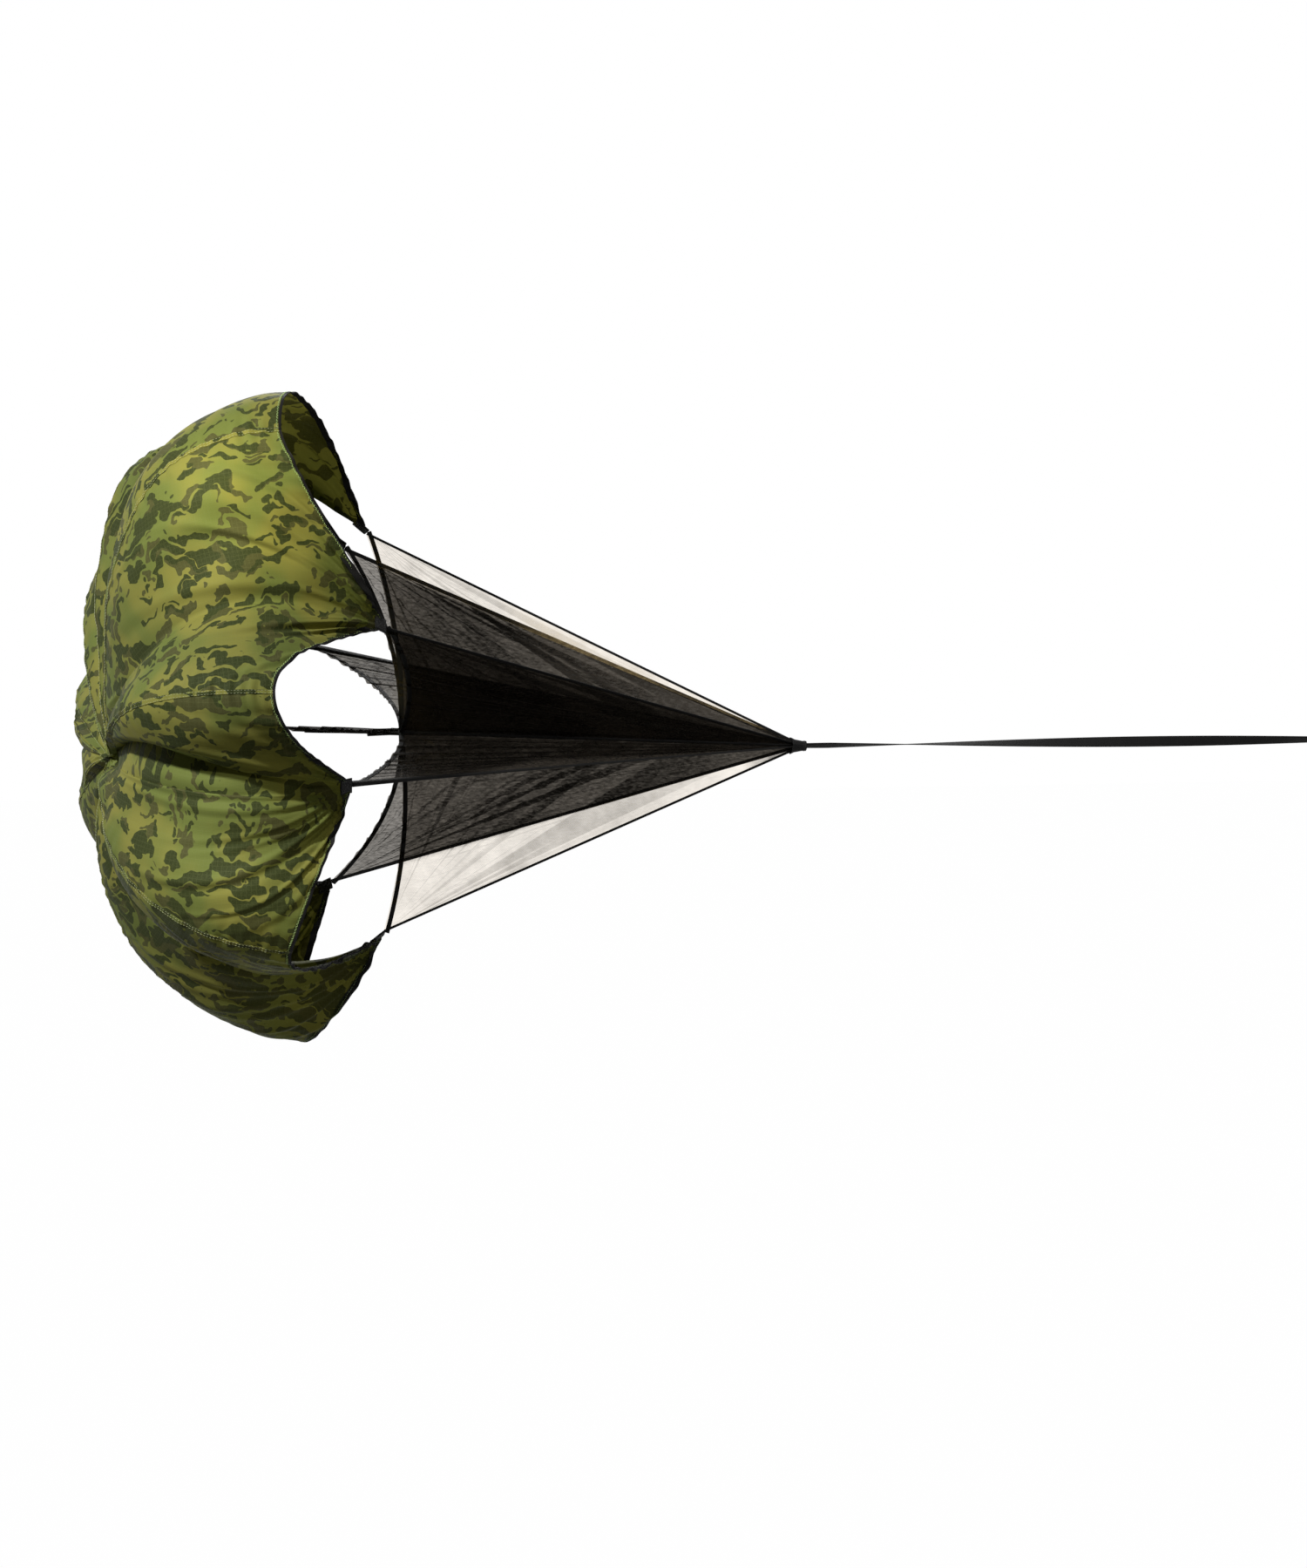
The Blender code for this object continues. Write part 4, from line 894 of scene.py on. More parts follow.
PATCH_ROUND, PATCH_RINGS, PATCH_STEPS = 0.0145, 7, 12
PATCH_PROUD, PATCH_SUNK, PATCH_LAYOUT_AT = 0.0011, -0.0002, 12.1
RING_SHARE, RING_PROUD, RING_PITCH = 0.84, 0.0013, 0.0034
spokes = [(g, s) for g in range(GORES) for s in np.linspace(-1, 1, PATCH_STEPS, endpoint=False)]
rings, flat = [], []
for number in range(1, PATCH_RINGS + 1):
    down = PATCH_ROUND * number / PATCH_RINGS / CROWN_LONG
    lift = PATCH_PROUD if number < PATCH_RINGS else PATCH_SUNK
    rings.append([raised(g, s, down, lift) for g, s in spokes])
    for turn in 2 * math.pi * np.arange(1, len(spokes) + 1) / len(spokes):
        radius = down * CROWN_LONG
        flat.append((PATCH_LAYOUT_AT + radius * math.cos(turn), radius * math.sin(turn)))
vertices, faces = lofted(rings)
patch = add_piece("crown_round", vertices, faces[:-1], camouflage, {"cloth": flat})
dress(patch, "chute", "crown_patch")
down, spokes = PATCH_ROUND * RING_SHARE / CROWN_LONG, [*spokes, spokes[0]]
line = [raised(g, s, down, RING_PROUD) for g, s in spokes]
outs = [in_flight_direction(directions(g, s, down)[2]) for g, s in spokes]
sew("crown_stitches", [(line, outs)], pale_thread, "camouflage_polyester", RING_PITCH)


# Corner tabs: a short length of webbing folded over the point of each ear and sewn through with a
# crossed square. The fin's corner is caught in its fold.

FOLD_PROUD, LEAF, BELLY, END_THIN = 0.0006, 0.0008, 0.0002, 0.75
SQUARE_BACK, SQUARE_INSET, SQUARE_PROUD, SQUARE_PITCH = 0.0035, 0.003, 0.00035, 0.0028
BLACK_STITCH = (0.0024, 0.0, 0.0006)


def tab_frame(gore):
    """The ear's point, and the directions ahead, across and out of it."""
    ear = smooth_canopy(gore, 0, 1)
    ahead = unit(ear - smooth_canopy(gore, 0, 0.998))
    across = unit(np.cross(directions(gore, 0.0, 0.998)[2], ahead))
    return ear, ahead, across, np.cross(ahead, across)


def crossed_square(near, far, side, count, place, outward):
    """Rows of stitches round a square and over its diagonals, through both faces."""
    square = [(near, -side), (near, side), (far, side), (far, -side)]
    ends = [(square[i], square[(i + 1) % 4]) for i in range(4)]
    rows = []
    for sign in (1, -1):
        for (a, c), (b, d) in [*ends, (square[0], square[2]), (square[1], square[3])]:
            line = [place(a + (b - a) * t, c + (d - c) * t, sign) for t in np.linspace(0, 1, count)]
            rows.append((line, [outward(sign)] * count))
    return rows


half = TAB_THICK / 2
outline = [(-TAB_LONG, half), (-TAB_LONG * 0.5, half + BELLY), (-half, half)]
outline += [(half * math.cos(t) - half + FOLD_PROUD, half * math.sin(t)) for t in (1.0, 0.4, -0.4, -1.0)]
outline += [(-half, -half), (-TAB_LONG * 0.5, -half - BELLY), (-TAB_LONG, -half), (-TAB_LONG, -half + LEAF)]
outline += [(-half, -half + LEAF), (-half, half - LEAF), (-TAB_LONG, half - LEAF)]
runs = np.cumsum([0] + [math.dist(a, b) for a, b in zip(outline, outline[1:])])
for gore in range(GORES):
    ear, ahead, across, up = tab_frame(gore)
    rings, flat = [], []
    for share in (-1, -0.97, -0.5, 0, 0.5, 0.97, 1):
        thin, aside = END_THIN if abs(share) == 1 else 1.0, share * TAB_WIDE / 2
        rings.append([in_flight(ear + ahead * a + up * u * thin + across * aside) for a, u in outline])
        flat += [(run, aside) for run in runs]
    tab = shell(f"ear_tab_{gore + 1}", rings, webbing, {"webbing": flat}, sharp=50)
    dress(tab, "chute", f"corner_tab_{gore + 1}")

    def on_tab(a, c, sign):
        return in_flight(ear + ahead * a + across * c + up * sign * (half + SQUARE_PROUD))

    square = -SQUARE_BACK, -TAB_LONG + SQUARE_INSET, TAB_WIDE / 2 - SQUARE_INSET, 8
    rows = crossed_square(*square, on_tab, lambda sign: in_flight_direction(up * sign))
    sew(f"tab_stitches_{gore + 1}", rows, black_thread, "black_webbing", SQUARE_PITCH, *BLACK_STITCH)


# Mesh fins: eight vanes of sheer black netting from the ears to the gathered apex. The pull on
# each corner draws the netting into long thin pleats. Where fins lie one behind another they darken.

FIN_ROWS, FIN_COLUMNS = 150, 60
FIN_SEAT, BUNDLE_ROUND, TAPE_WIDE = 0.0031, 0.0054, 0.006
FIN_TIP, FIN_FOOT = np.array([0, BUNDLE_ROUND]), np.array([-HEM_X, FIN_SEAT])
FIN_HEM_BOW = 0.03
TAB_GAP, LEANING_GAP = 0.0003, 0.00045
FIN_BOW_SHARES = (0.45, 0.6, 0.6, 0.45, 0.9, 1.0, 1.15, 0.7)
FIN_COVERS = (0.75, 0.84, 0.84, 0.68, 0.80, 0.95, 0.84, 0.77)
FIN_RIPPLE, FIN_RIPPLES = 0.0030, {5: 0.0075}
FIN_BELLY, FIN_SAG = 0.004, 0.0025
PULL_APART = 3.7
THIN_COVER, THIN_FROM = 0.19, {0: 0.835, 3: 0.665}
GATHERED_COVER, GATHERED_FROM, GATHERED_LONG = 0.9, 0.10, 0.09
MESH_PITCH = 0.0022


def fin_directions(gore):
    ear = smooth_canopy(gore, 0, 1)
    radial = np.array([0, ear[1], ear[2]]) / math.hypot(ear[1], ear[2])
    return radial, np.cross([1, 0, 0], radial)


def fin_edge(gore):
    """The fin's outer corner as (x, r) just ahead of the tab, and in its plane the unit directions
    from there to the tip and inwards."""
    ear, ahead, _, _ = tab_frame(gore)
    lean = abs(float(fin_directions(gore)[1] @ ahead))
    point = ear + ahead * (TAB_GAP + LEANING_GAP * lean)
    corner = np.array([point[0], math.hypot(point[1], point[2])])
    edge = (FIN_TIP - corner) / np.linalg.norm(FIN_TIP - corner)
    return corner, edge, np.array([edge[1], -edge[0]])


def fin_place(gore, plan, aside):
    """From the fin's own plane, where a point is (x, r), to the chute in flight."""
    radial, tangent = fin_directions(gore)
    points = np.zeros((*plan.shape[:-1], 3))
    points[..., 0] = plan[..., 0]
    return in_flight(points + radial * plan[..., 1:2] + tangent * np.asarray(aside, float)[..., None])


def fin_hem(gore, t):
    """The hem from the corner, t = 0, to the axis, t = 1, bowed towards the apex."""
    corner, t = fin_edge(gore)[0], t[..., None]
    bow = np.array([FIN_HEM_BOW * FIN_BOW_SHARES[gore] * 4, 0])
    return corner + (FIN_FOOT - corner) * t + bow * t * (1 - t)


def netting_finish():
    """Sheer knitted netting: strands too fine to see one by one, so its cover is what varies."""
    net = Finish("black mesh netting", (0.01, 0.0095, 0.009), 0.75, Specular_IOR_Level=0.08)
    fan, cloth, pull = net.laid_out("fan"), net.laid_out("cloth"), net.laid_out("pull")
    cover = net.source("ShaderNodeAttribute", "Fac", attribute_name="cover")
    spread = fan.mapped(scale=(38, 1.6, 1)).noise(1, 2, 0.6).step(0.58, 0.64)
    thin = fan.mapped((5, 0, 0), scale=(95, 2.5, 1)).noise(1, 2, 0.65).step(0.60, 0.66)
    rays = pull.mapped(scale=(26, 1.2, 1)).noise(1, 1, 0.5).step(0.60, 0.66)
    finer = pull.mapped((9, 0, 0), scale=(60, 1.5, 1)).noise(1, 1, 0.5).step(0.60, 0.66)
    rays = (rays * 0.8).most(finer * 0.5) * (1 - pull.part(1).step(0.05, 0.45))
    along_edge = 1 - pull.maths("MODULO", pull.part(0), PULL_APART).step(0.16, 0.42)
    bold = pull.mapped((4, 0, 0), scale=(27, 0.9, 1)).noise(1, 0, 0.5).step(0.52, 0.60) * along_edge
    bold = bold * (1 - pull.part(1).step(0.3, 0.66))
    pleats = (spread * 0.4 + thin * 0.4).most(rays.most(bold))
    pleats = pleats * (cover.step(0.2, 0.6) * 0.62 + 0.28)
    weave = cloth.part(0).ripple(MESH_PITCH) * cloth.part(1).ripple(MESH_PITCH)
    slub = cloth.mapped(turn=0.5, scale=(110, 330, 1)).noise(1, 3, 0.7).step(0.36, 0.64)
    smudge = cloth.noise(14, 3, 0.6)
    grain = weave * 0.14 + (slub - 0.5) * (cover.step(0.2, 0.7) * 0.52 + 0.08) + (smudge - 0.5) * 0.9
    full = cover + pleats * (1 - cover) + grain * (1 - cover)
    # Painted light: the see-through is tinted cream, standing in for light on the strands, which are black.
    holes_tinted_as_painted_light = full.node("ShaderNodeBsdfTransparent", {"Color": (1.0, 0.945, 0.87, 1)})
    own = Shade(net.tree, net.shader.outputs[0])
    net.mix_shaders(full.maths("MINIMUM", full.most(0.03), 0.985), holes_tinted_as_painted_light, own)
    # Painted light: where the netting is thin its black strands are coloured a warm tan, as if lit; where it
    # is dense they keep their near-black colour with random slubs.
    lit = slub.blend((0.34, 0.24, 0.10), (0.56, 0.42, 0.20))
    dense = slub.blend((0.005, 0.0044, 0.0036), (0.036, 0.030, 0.023))
    net.feed(Base_Color=cover.step(0.25, 0.6).blend(lit, dense))
    net.raise_by(weave * 0.5 + 0.5, 0.0002, 0.5)
    return net.material


netting = netting_finish()
s = np.linspace(0, 1, FIN_ROWS + 1)[:, None, None]
t = np.linspace(0, 1, FIN_COLUMNS + 1)[None, :, None]
across, along = t[..., 0] + 0 * s[..., 0], s[..., 0] + 0 * t[..., 0]
pinned = np.sin(np.pi * across) ** 0.6
for gore in range(GORES):
    corner, edge, inwards = fin_edge(gore)
    start = corner + inwards * TAPE_WIDE / 2
    far = start + edge * ((FIN_SEAT - start[1]) / edge[1])
    outer, axis = start + (far - start) * s, FIN_FOOT + (far - FIN_FOOT) * s
    bow = fin_hem(gore, 1 - t[..., 0]) - (FIN_FOOT + (corner - FIN_FOOT) * t)
    plan = axis + (outer - axis) * t + bow * (1 - s) ** 2
    pleat = waves(across * 42 + 0.8 * np.sin(3 * along), 200 + gore) + 0.6 * waves(across * 96, 220 + gore)
    ripple = FIN_RIPPLES.get(gore, FIN_RIPPLE) * pleat * pinned * np.clip(length(outer - axis) / 0.08, 0, 1)
    ripple = ripple * (0.35 + 0.65 * np.exp(-along * 2.2))
    belly = FIN_BELLY * np.sin(np.pi * across) * np.sin(np.pi * along)
    belly = belly + FIN_SAG * waves(along * 9 + across * 5, 240 + gore) * pinned * (1 - along)
    points = fin_place(gore, plan, ripple + belly).reshape(-1, 3)
    cover = np.full(across.shape, FIN_COVERS[gore])
    if gore in THIN_FROM:
        cover = cover + (THIN_COVER - cover) * np.clip((across - THIN_FROM[gore]) / 0.02 + 0.5, 0, 1)
    gathered = np.clip((plan[..., 0] + GATHERED_FROM) / GATHERED_LONG, 0, 1)
    cover = np.maximum(cover, GATHERED_COVER * gathered)
    fan = np.stack([across, along], -1).reshape(-1, 2) + np.array([gore * 2.3, 0])
    apart = plan - corner
    turn = np.arctan2(apart[..., 0] * inwards[0] + apart[..., 1] * inwards[1], apart @ edge)
    pull = np.stack([turn + gore * PULL_APART, length(apart)], -1).reshape(-1, 2)
    layouts = {"fan": fan, "pull": pull, "cloth": plan.reshape(-1, 2) + gore}
    piece = add_piece(f"fin_net_{gore + 1}", points, grid_faces(*cover.shape), netting, layouts)
    piece.data.attributes.new("cover", "FLOAT", "POINT").data.foreach_set("value", cover.ravel())
    dress(piece, "chute", f"mesh_fin_{gore + 1}")
    flat = float(np.ptp(plan[..., 0])), float(np.ptp(plan[..., 1]))
    area = area_of(np.concatenate([plan, 0 * plan[..., :1]], -1))


# Fin bindings: narrow black tape folded over each fin's outer edge and over its bowed hem, sewn
# through near its inner side.

TAPE_DEEP = 0.0011
THIN_TAPE = 0.0034
CORNER_GATHERS = {2: 1.0, 5: 0.7, 6: 1.0}
GATHER_REACH, GATHER_ROUND = 0.15, 4.5


def tape_run(gore, plan, inwards, width, gather=0.0):
    """Rounded tape along a line of (x, r) points, lying towards the inside of the fin. The netting
    that its start gathers makes it wider and rounder there."""
    section = webbing_section(width, TAPE_DEEP)
    fuller = gather * np.exp(-length(plan - plan[0]) / GATHER_REACH)
    rings = []
    for u, v in section:
        wider = (width / 2 + u) * (1 + fuller[:, None])
        rings.append(fin_place(gore, plan + inwards * wider, v * (1 + GATHER_ROUND * fuller)))
    return np.stack(rings, 1), [(a, u) for a in running(plan) for u, _ in section]


for gore in range(GORES):
    corner, _, inwards = fin_edge(gore)
    straight = corner + (FIN_TIP - corner) * np.linspace(0.0008, 1, 120)[:, None]
    hem = fin_hem(gore, np.linspace(0, 1, 90))
    way = unit(np.gradient(hem, axis=0))
    hem_side = np.stack([-way[:, 1], way[:, 0]], -1)
    outer_wide = THIN_TAPE if gore in THIN_FROM else TAPE_WIDE
    outer = tape_run(gore, straight, inwards, outer_wide, CORNER_GATHERS.get(gore, 0))
    vertices, faces, flat = [], [], []
    for rings, laid in (outer, tape_run(gore, hem, hem_side, TAPE_WIDE)):
        more, skins = lofted(rings)
        faces += [tuple(i + len(vertices) for i in face) for face in skins]
        vertices += more
        flat += laid
    binding = add_piece(f"fin_tape_{gore + 1}", vertices, faces, tape, {"webbing": flat})
    face_outwards(binding)
    dress(binding, "chute", f"fin_binding_{gore + 1}")


# Fin spine: the tape that joins the eight fins along the chute's axis, rolled into a cord.

SPINE_ROUND, SPINE_STEPS, SPINE_SIDES = 0.0028, 160, 20


def round_axis(x, radius, turns):
    """Points in flight at this distance from the chute's axis and this turn about it."""
    x, radius, turns = np.broadcast_arrays(x, radius, turns)
    return in_flight(np.stack([x, radius * np.cos(turns), radius * np.sin(turns)], -1))


turns = 2 * math.pi * np.arange(SPINE_SIDES) / SPINE_SIDES
rings, flat = [], []
for i in range(SPINE_STEPS + 1):
    x = -HEM_X + HEM_X * i / SPINE_STEPS
    lump = 0.93 + 0.06 * np.sin(3 * turns + 90 * x) + 0.02 * np.sin(5 * turns - 200 * x)
    rings.append(round_axis(x, SPINE_ROUND * lump, turns))
    flat += [(x, turn * SPINE_ROUND) for turn in turns]
spine = shell("spine_cord", rings, tape, {"webbing": flat})
dress(spine, "chute", "fin_spine")


# Apex wrap: webbing rolled round the gathered tips of the fins and the root of the strap, and
# sewn round in two rows.

WRAP_BACK, WRAP_BORE, WRAP_WALL, WRAP_FLARE = 0.010, 0.00615, 0.0009, 0.0046
WRAP_SIDES, WRAP_ROWS = 48, (0.0025, 0.0095)


def lumpy(x, turns):
    """How far the rolled webbing stands out here, as a share of its radius."""
    return 1 + 0.035 * np.sin(3 * turns + 1 + 90 * x) + 0.02 * np.sin(7 * turns + 60 * x)


inner = [(-WRAP_BACK, WRAP_BORE + WRAP_FLARE), (-WRAP_BACK * 0.5, WRAP_BORE + WRAP_FLARE * 0.45)]
inner += [(0.0, WRAP_BORE), (WRAP_FRONT, WRAP_BORE - 0.0002)]
skin = [(x, r + WRAP_WALL) for x, r in inner[::-1]]
skin.insert(2, (0.005, WRAP_BORE + WRAP_WALL * 1.15))
xs, radii = np.array(inner + skin).T
rings, flat = [], []
for k in range(WRAP_SIDES):
    turn = 2 * math.pi * k / WRAP_SIDES
    rings.append(round_axis(xs, radii * lumpy(xs, turn), turn))
    flat += [(turn * WRAP_BORE, x) for x in xs]
wrap = shell("apex_webbing", rings, webbing, {"webbing": flat}, closed=True, sharp=50)
dress(wrap, "chute", "apex_wrap")
turns = np.linspace(0, 2 * math.pi, WRAP_SIDES + 1)
rows = []
for x in WRAP_ROWS:
    line = round_axis(x, (WRAP_BORE + WRAP_WALL * 1.12) * lumpy(x, turns), turns)
    rows.append((line, round_axis(0, 1, turns) - in_flight(np.zeros(3))))
sew("wrap_stitches", rows, black_thread, "black_webbing", 0.0027, *BLACK_STITCH)


# Strap end loop: the strap's end folded back round the eye's bar and sewn to itself, with a
# crossed square of black thread.

EYE_BAR, BAR_ROUND = -0.0685, 0.0018
TAIL_LONG, SEWN_SHARE = 0.030, 0.55
LEAVES_APART, LOOP_THREAD_PROUD = 0.0003, 0.0001
LOOP_SQUARE_SHARE, LOOP_SQUARE_INSET, LOOP_STITCH = 0.60, 0.002, (0.0026, 0.0022, 0.0, 0.0006)
LOOP_WAY = math.radians(STRAP_FIRST_TURN + STRAP_TURN + 90)


def at_strap_end(x, y, z):
    """From the loop's own frame, turned with the strap's last width, to the row frame."""
    c, s = math.cos(LOOP_WAY), math.sin(LOOP_WAY)
    return Vector((EYE_BAR + x, y * c - z * s, y * s + z * c))


def strap_end_way(x, y, z):
    return at_strap_end(x, y, z) - at_strap_end(0, 0, 0)


def loop_line():
    """The loop's middle line from the tail's end, round the bar and back, as points (x, z)."""
    offset = (STRAP_THICK + LEAVES_APART) / 2
    radius = BAR_ROUND + LEAVES_APART + STRAP_THICK / 2
    joined = -TAIL_LONG * SEWN_SHARE
    line = [(-TAIL_LONG + i * (joined + TAIL_LONG) / 8, -offset) for i in range(9)]
    last = math.pi / 2 + math.atan2(radius - offset, -joined)
    for i in range(25):
        turn = -last + 2 * last * i / 24
        line.append((radius * math.cos(turn), radius * math.sin(turn)))
    return line + [(x, -z) for x, z in line[8::-1]]


line = loop_line()
stations = []
for i, (x, z) in enumerate(line):
    (x0, z0), (x1, z1) = line[max(0, i - 1)], line[min(len(line) - 1, i + 1)]
    long = math.hypot(x1 - x0, z1 - z0)
    up = strap_end_way(-(z1 - z0) / long, 0, (x1 - x0) / long)
    stations.append((at_strap_end(x, 0, z), strap_end_way(0, 1, 0), up, STRAP_WIDE, STRAP_THICK))
end_loop = lay_webbing("strap_loop_webbing", stations, STRAP_LONG)
dress(end_loop, "chute", "strap_end_loop")


def on_loop(a, c, sign):
    return at_strap_end(a, c, sign * (STRAP_THICK + LEAVES_APART / 2 + LOOP_THREAD_PROUD))


far, side = -TAIL_LONG + LOOP_SQUARE_INSET, STRAP_WIDE / 2 - LOOP_SQUARE_INSET
square = -TAIL_LONG * LOOP_SQUARE_SHARE, far, side, 6
rows = crossed_square(*square, on_loop, lambda sign: strap_end_way(0, 0, sign))
loop_thread = sew("loop_stitches", rows, black_thread, "black_webbing", *LOOP_STITCH)


# Swivel eye: a cast ring of nickel-plated steel that the strap's loop goes round. Its headed shank
# turns in the hook's barrel, and the loop lets it tilt about the bar.

EYE_INSIDE, EYE_SIDE_PLAY, EYE_CORNER = 0.0085, 0.0008, 0.0026
SHANK_ROUND, HEAD_ROUND, HEAD_LONG = 0.0023, 0.0038, 0.0022
SHANK_FROM, HEAD_FROM = 0.0121, 0.0208


def steel_finish():
    """Bright nickel over a cast surface, a little worn."""
    steel = Finish("nickel-plated steel", (0.42, 0.415, 0.40), 0.25, 1.0)
    place = steel.source("ShaderNodeTexCoord", "Object")
    wear, cast = place.noise(160, 4, 0.6), place.noise(1400, 2)
    steel.feed(Base_Color=wear.step(0.35, 0.75).blend((0.34, 0.335, 0.32), (0.50, 0.495, 0.475)))
    steel.feed(Roughness=0.16 + wear * 0.22)
    steel.raise_by(cast, 0.00005, 0.5)
    return steel.material


def bar_rings(path, radius, up, closed=False, sides=28):
    """Rings of a round bar along a path in one plane; up is square to that plane."""
    rings = []
    for i, point in enumerate(path):
        before = path[i - 1] if closed or i else point
        after = path[(i + 1) % len(path)] if closed or i < len(path) - 1 else point
        across = (after - before).normalized().cross(up).normalized()
        size = radius[i] if isinstance(radius, list) else radius
        turns = [2 * math.pi * k / sides for k in range(sides)]
        rings.append([point + across * (size * math.cos(t)) + up * (size * math.sin(t)) for t in turns])
    return rings


def turned(profile, sides=36):
    """A solid of revolution about X from (x, radius) points."""
    turns = [2 * math.pi * k / sides for k in range(sides)]
    return solid([[Vector((x, r * math.cos(t), r * math.sin(t))) for t in turns] for x, r in profile])


def block(low, high, rounding=0.0):
    """A box with rounded edges, as a loose object."""
    centre, half = (Vector(low) + Vector(high)) / 2, (Vector(high) - Vector(low)) / 2
    work = bmesh.new()
    bmesh.ops.create_cube(work, size=2)
    for vertex in work.verts:
        vertex.co = Vector([c + h * v for c, h, v in zip(centre, half, vertex.co)])
    if rounding:
        bmesh.ops.bevel(work, geom=list(work.edges), offset=rounding, segments=4, profile=0.5, affect="EDGES")
    mesh = bpy.data.meshes.new("block")
    work.to_mesh(mesh)
    work.free()
    return stand("block", mesh)


def solid(rings, closed=False):
    return shell("solid", rings, nickel, closed=closed)


def machined(name, base, joins=(), cuts=(), softened=0.0002):
    """The base with other solids joined to it and cut from it, its edges softened."""
    for other, operation in [(j, "UNION") for j in joins] + [(c, "DIFFERENCE") for c in cuts]:
        step = base.modifiers.new(operation, "BOOLEAN")
        step.operation, step.solver, step.object = operation, "EXACT", other
    if softened:
        edge = base.modifiers.new("edge", "BEVEL")
        edge.width, edge.segments = softened, 2
        edge.limit_method, edge.angle_limit = "ANGLE", math.radians(40)
    graph = bpy.context.evaluated_depsgraph_get()
    mesh = bpy.data.meshes.new_from_object(base.evaluated_get(graph))
    for used in (base, *joins, *cuts):
        bpy.data.objects.remove(used)
    mesh.name = name
    mesh.materials.clear()
    mesh.materials.append(nickel)
    mesh.shade_smooth()
    mesh.set_sharp_from_angle(angle=math.radians(42))
    return stand(name, mesh)


nickel = steel_finish()
half_long, half_wide = EYE_INSIDE / 2 + BAR_ROUND, STRAP_WIDE / 2 + EYE_SIDE_PLAY + BAR_ROUND
path = []
for cx, cy, first in ((1, 1, 0), (-1, 1, 90), (-1, -1, 180), (1, -1, 270)):
    for i in range(13):
        turn = math.radians(first + 90 * i / 12)
        x = cx * (half_long - EYE_CORNER) + EYE_CORNER * math.cos(turn)
        path.append(Vector((half_long + x, cy * (half_wide - EYE_CORNER) + EYE_CORNER * math.sin(turn), 0)))
ring = solid(bar_rings(path, BAR_ROUND, Vector((0, 0, 1)), closed=True), closed=True)
head_end = HEAD_FROM + HEAD_LONG
shank_profile = [(SHANK_FROM, SHANK_ROUND), (HEAD_FROM, SHANK_ROUND), (HEAD_FROM, HEAD_ROUND)]
collar_profile = [(SHANK_FROM - 0.0004, 0.0026), (SHANK_FROM + 0.0009, 0.0030)]
collar = turned([*collar_profile, (SHANK_FROM + 0.0024, SHANK_ROUND)])
eye = machined("eye_casting", ring, [turned([*shank_profile, (head_end, HEAD_ROUND)]), collar])
eye.data.transform(Matrix.Translation((EYE_BAR, 0, 0)) @ Matrix.Rotation(LOOP_WAY, 4, "X"))
dress(eye, "eye", "swivel_eye")


# Snap hook: barrel, base, spine, bow and nose cast in one of nickel-plated steel. The sprung gate
# swings inwards on a pin between the cheeks of the base.

HOOK_BAR, HOOK_INSIDE = 0.0026, 0.013
HALF_HOOK = HOOK_INSIDE / 2 + HOOK_BAR
BASE_FRONT, BASE_LONG, BASE_HALF_WIDE = -0.034, 0.0086, 0.0040
BASE_BACK = BASE_FRONT - BASE_LONG
BASE_TOP = HALF_HOOK + HOOK_BAR + 0.0008
BARREL_LONG, BARREL_ROUND, NECK_LONG = 0.0105, 0.0056, 0.005
BARREL_BACK = BASE_BACK - BARREL_LONG
CAVITY = BARREL_BACK + NECK_LONG
HEAD_PLAY, PLAY = 0.0004, 0.0003
SLOT_WIDE, SLOT_DEEP = 0.0056, 0.0045
NOSE_LONG = 0.007
PIVOT_X, PIN_ROUND, PIN_HEAD = BASE_FRONT - 0.0038, 0.0012, 0.0004
GATE_HALF_HIGH, GATE_HALF_WIDE = 0.0019, 0.0021
TONGUE_ROUND, TONGUE_WIDE = 0.0030, 0.0017
SPRING_WIRE, SPRING_TURNS, SPRING_PITCH, SPRING_STEPS = 0.00025, 2.5, 0.00095, 28


def on_pivot(start, end, radius, sides=32):
    """A rod along the pin's line."""
    start, end = (Vector((PIVOT_X, y, HALF_HOOK)) for y in (start, end))
    up = (end - start).normalized().orthogonal().normalized()
    return solid(bar_rings([start, end], radius, up, sides=sides))


bow = [Vector((BASE_FRONT - HOOK_BAR, 0, -HALF_HOOK))]
for i in range(41):
    turn = -math.pi / 2 + math.pi * i / 40
    bow.append(Vector((-HOOK_INSIDE / 2 + HALF_HOOK * math.cos(turn), 0, HALF_HOOK * math.sin(turn))))
nose = -HOOK_INSIDE / 2 - NOSE_LONG
bow += [Vector((nose + back, 0, HALF_HOOK)) for back in (0.0008, 0.0003, 0.0)]
sizes = [HOOK_BAR] * (len(bow) - 2) + [HOOK_BAR * 0.93, HOOK_BAR * 0.78]
base = block((BASE_BACK, -BASE_HALF_WIDE, -BASE_TOP), (BASE_FRONT, BASE_HALF_WIDE, BASE_TOP), 0.0011)
barrel_profile = [(BARREL_BACK, BARREL_ROUND * 0.86), (BARREL_BACK + 0.0007, BARREL_ROUND * 0.97)]
barrel_profile += [(BARREL_BACK + 0.0016, BARREL_ROUND), (BARREL_BACK + BARREL_LONG * 0.8, BARREL_ROUND)]
barrel = turned([*barrel_profile, (BASE_BACK + 0.0018, BARREL_ROUND * 0.94)])
slot_low = (BASE_BACK + 0.001, -SLOT_WIDE / 2, HALF_HOOK - SLOT_DEEP)
slot = block(slot_low, (BASE_FRONT + 0.002, SLOT_WIDE / 2, BASE_TOP + 0.002))
pin_hole = on_pivot(-0.006, 0.006, PIN_ROUND + PLAY)
bow_bar = solid(bar_rings(bow, sizes, Vector((0, 1, 0))))
bore_profile = [(BARREL_BACK - 0.002, SHANK_ROUND + PLAY), (CAVITY, SHANK_ROUND + PLAY)]
bore_profile += [(x, HEAD_ROUND + PLAY) for x in (CAVITY, CAVITY + HEAD_LONG + 2 * HEAD_PLAY)]
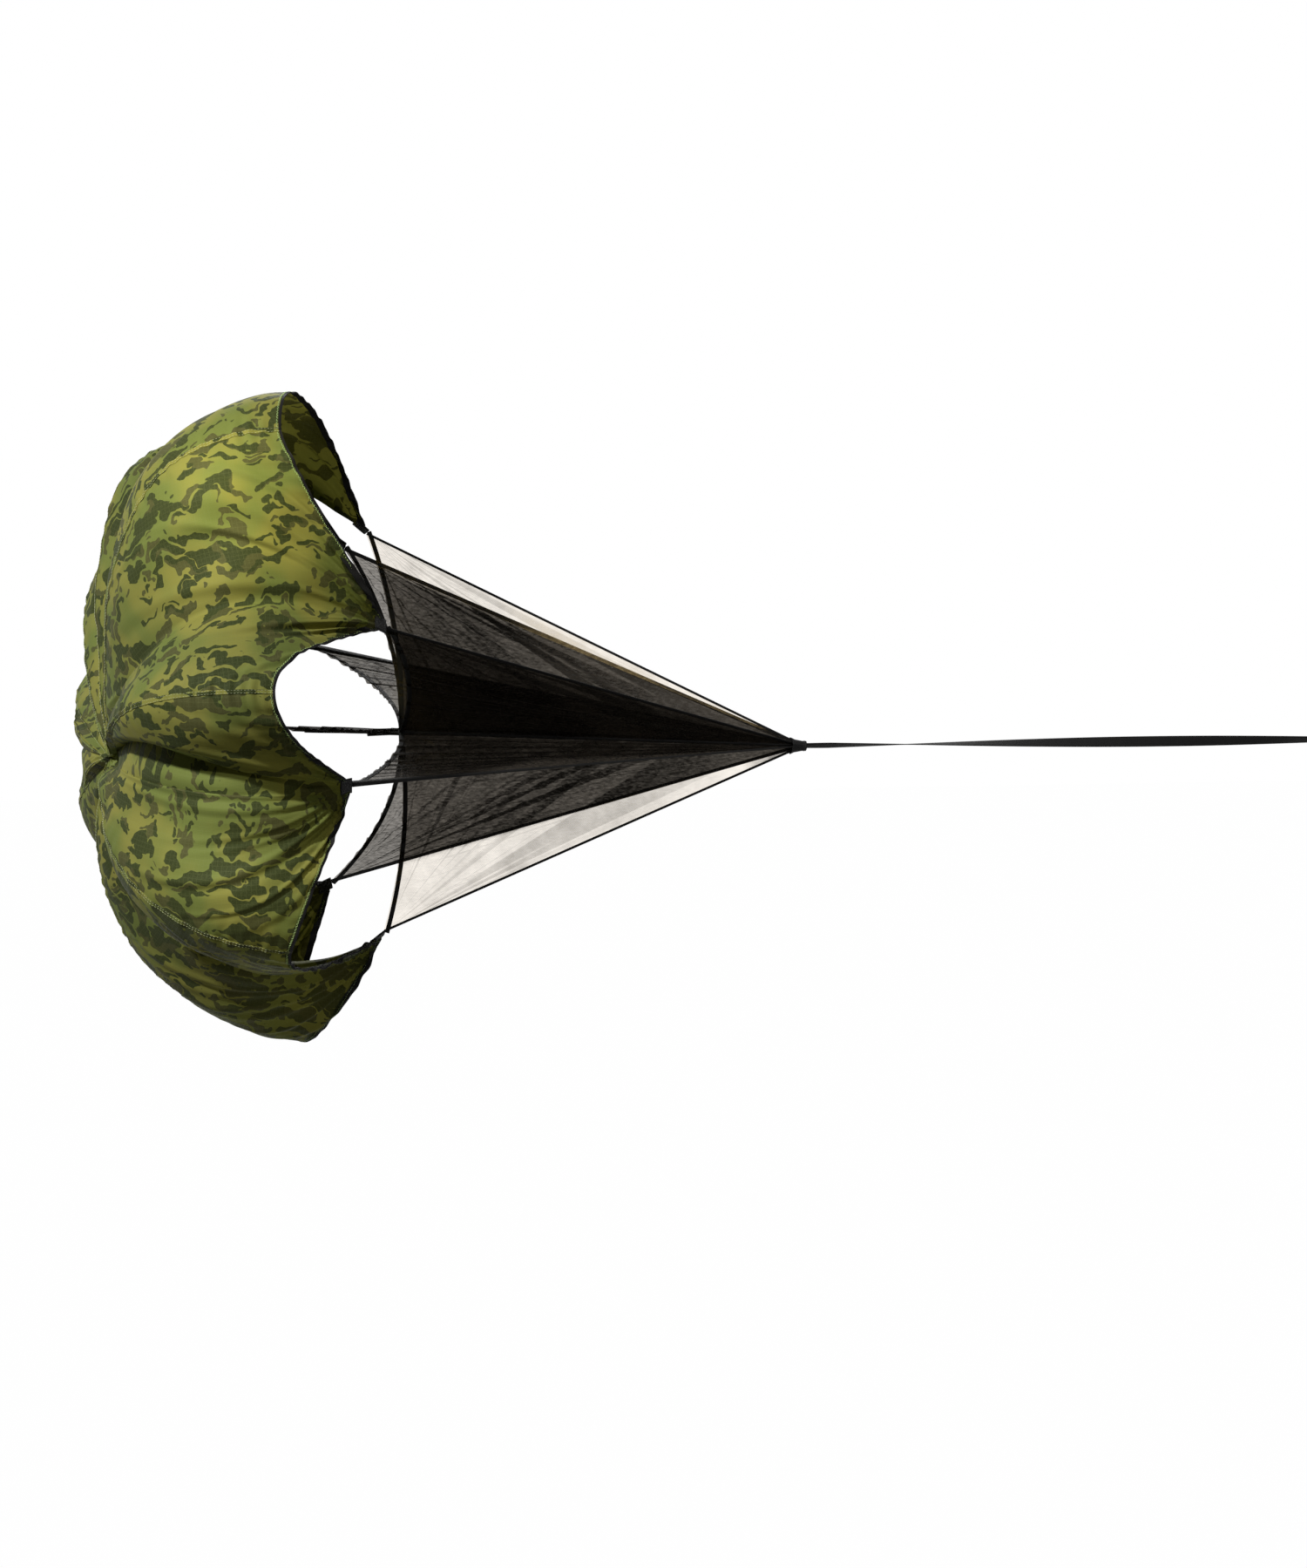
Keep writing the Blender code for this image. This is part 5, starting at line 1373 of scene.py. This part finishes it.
hook = machined("hook_casting", base, [barrel, bow_bar], [turned(bore_profile), slot, pin_hole])
dress(hook, "hook", "hook_body")

near = -SLOT_WIDE / 2 + PLAY
gate_start = BASE_FRONT + 0.0025
gate_low = (gate_start, -GATE_HALF_WIDE, HALF_HOOK - GATE_HALF_HIGH)
gate_bar = block(gate_low, (nose - PLAY, GATE_HALF_WIDE, HALF_HOOK + GATE_HALF_HIGH), 0.0007)
tongue = on_pivot(near, near + TONGUE_WIDE, TONGUE_ROUND, 40)
neck_high = (gate_start + 0.002, near + TONGUE_WIDE, HALF_HOOK + 0.0015)
neck = block((PIVOT_X, near, HALF_HOOK - 0.0015), neck_high)
gate_hole = on_pivot(-0.005, 0.005, PIN_ROUND + PLAY)
gate = machined("gate_casting", gate_bar, [neck, tongue], [gate_hole], 0.00012)
dress(gate, "gate", "hook_gate")

reach = BASE_HALF_WIDE + PIN_HEAD
pin_path = [Vector((PIVOT_X, y, HALF_HOOK)) for y in (-reach, -reach + 0.0003, reach - 0.0003, reach)]
pin_sizes = [PIN_ROUND * 0.7, PIN_ROUND, PIN_ROUND, PIN_ROUND * 0.7]
pin = machined("pin_rivet", solid(bar_rings(pin_path, pin_sizes, Vector((0, 0, 1)))), softened=0)
dress(pin, "hook", "gate_pin")

coil_round = PIN_ROUND + PLAY + SPRING_WIRE
first = near + PLAY + TONGUE_WIDE + SPRING_WIRE
abouts = [2 * math.pi * k / 10 for k in range(10)]
rings = []
for i in range(round(SPRING_TURNS * SPRING_STEPS) + 1):
    turn = 2 * math.pi * i / SPRING_STEPS
    out = Vector((math.cos(turn), 0, math.sin(turn)))
    middle = Vector((PIVOT_X, first + SPRING_PITCH * i / SPRING_STEPS, HALF_HOOK)) + out * coil_round
    ways = [out * (SPRING_WIRE * math.cos(a)) + Vector((0, SPRING_WIRE * math.sin(a), 0)) for a in abouts]
    rings.append([middle + way for way in ways])
coil = machined("spring_coil", solid(rings), softened=0)
dress(coil, "hook", "gate_spring")
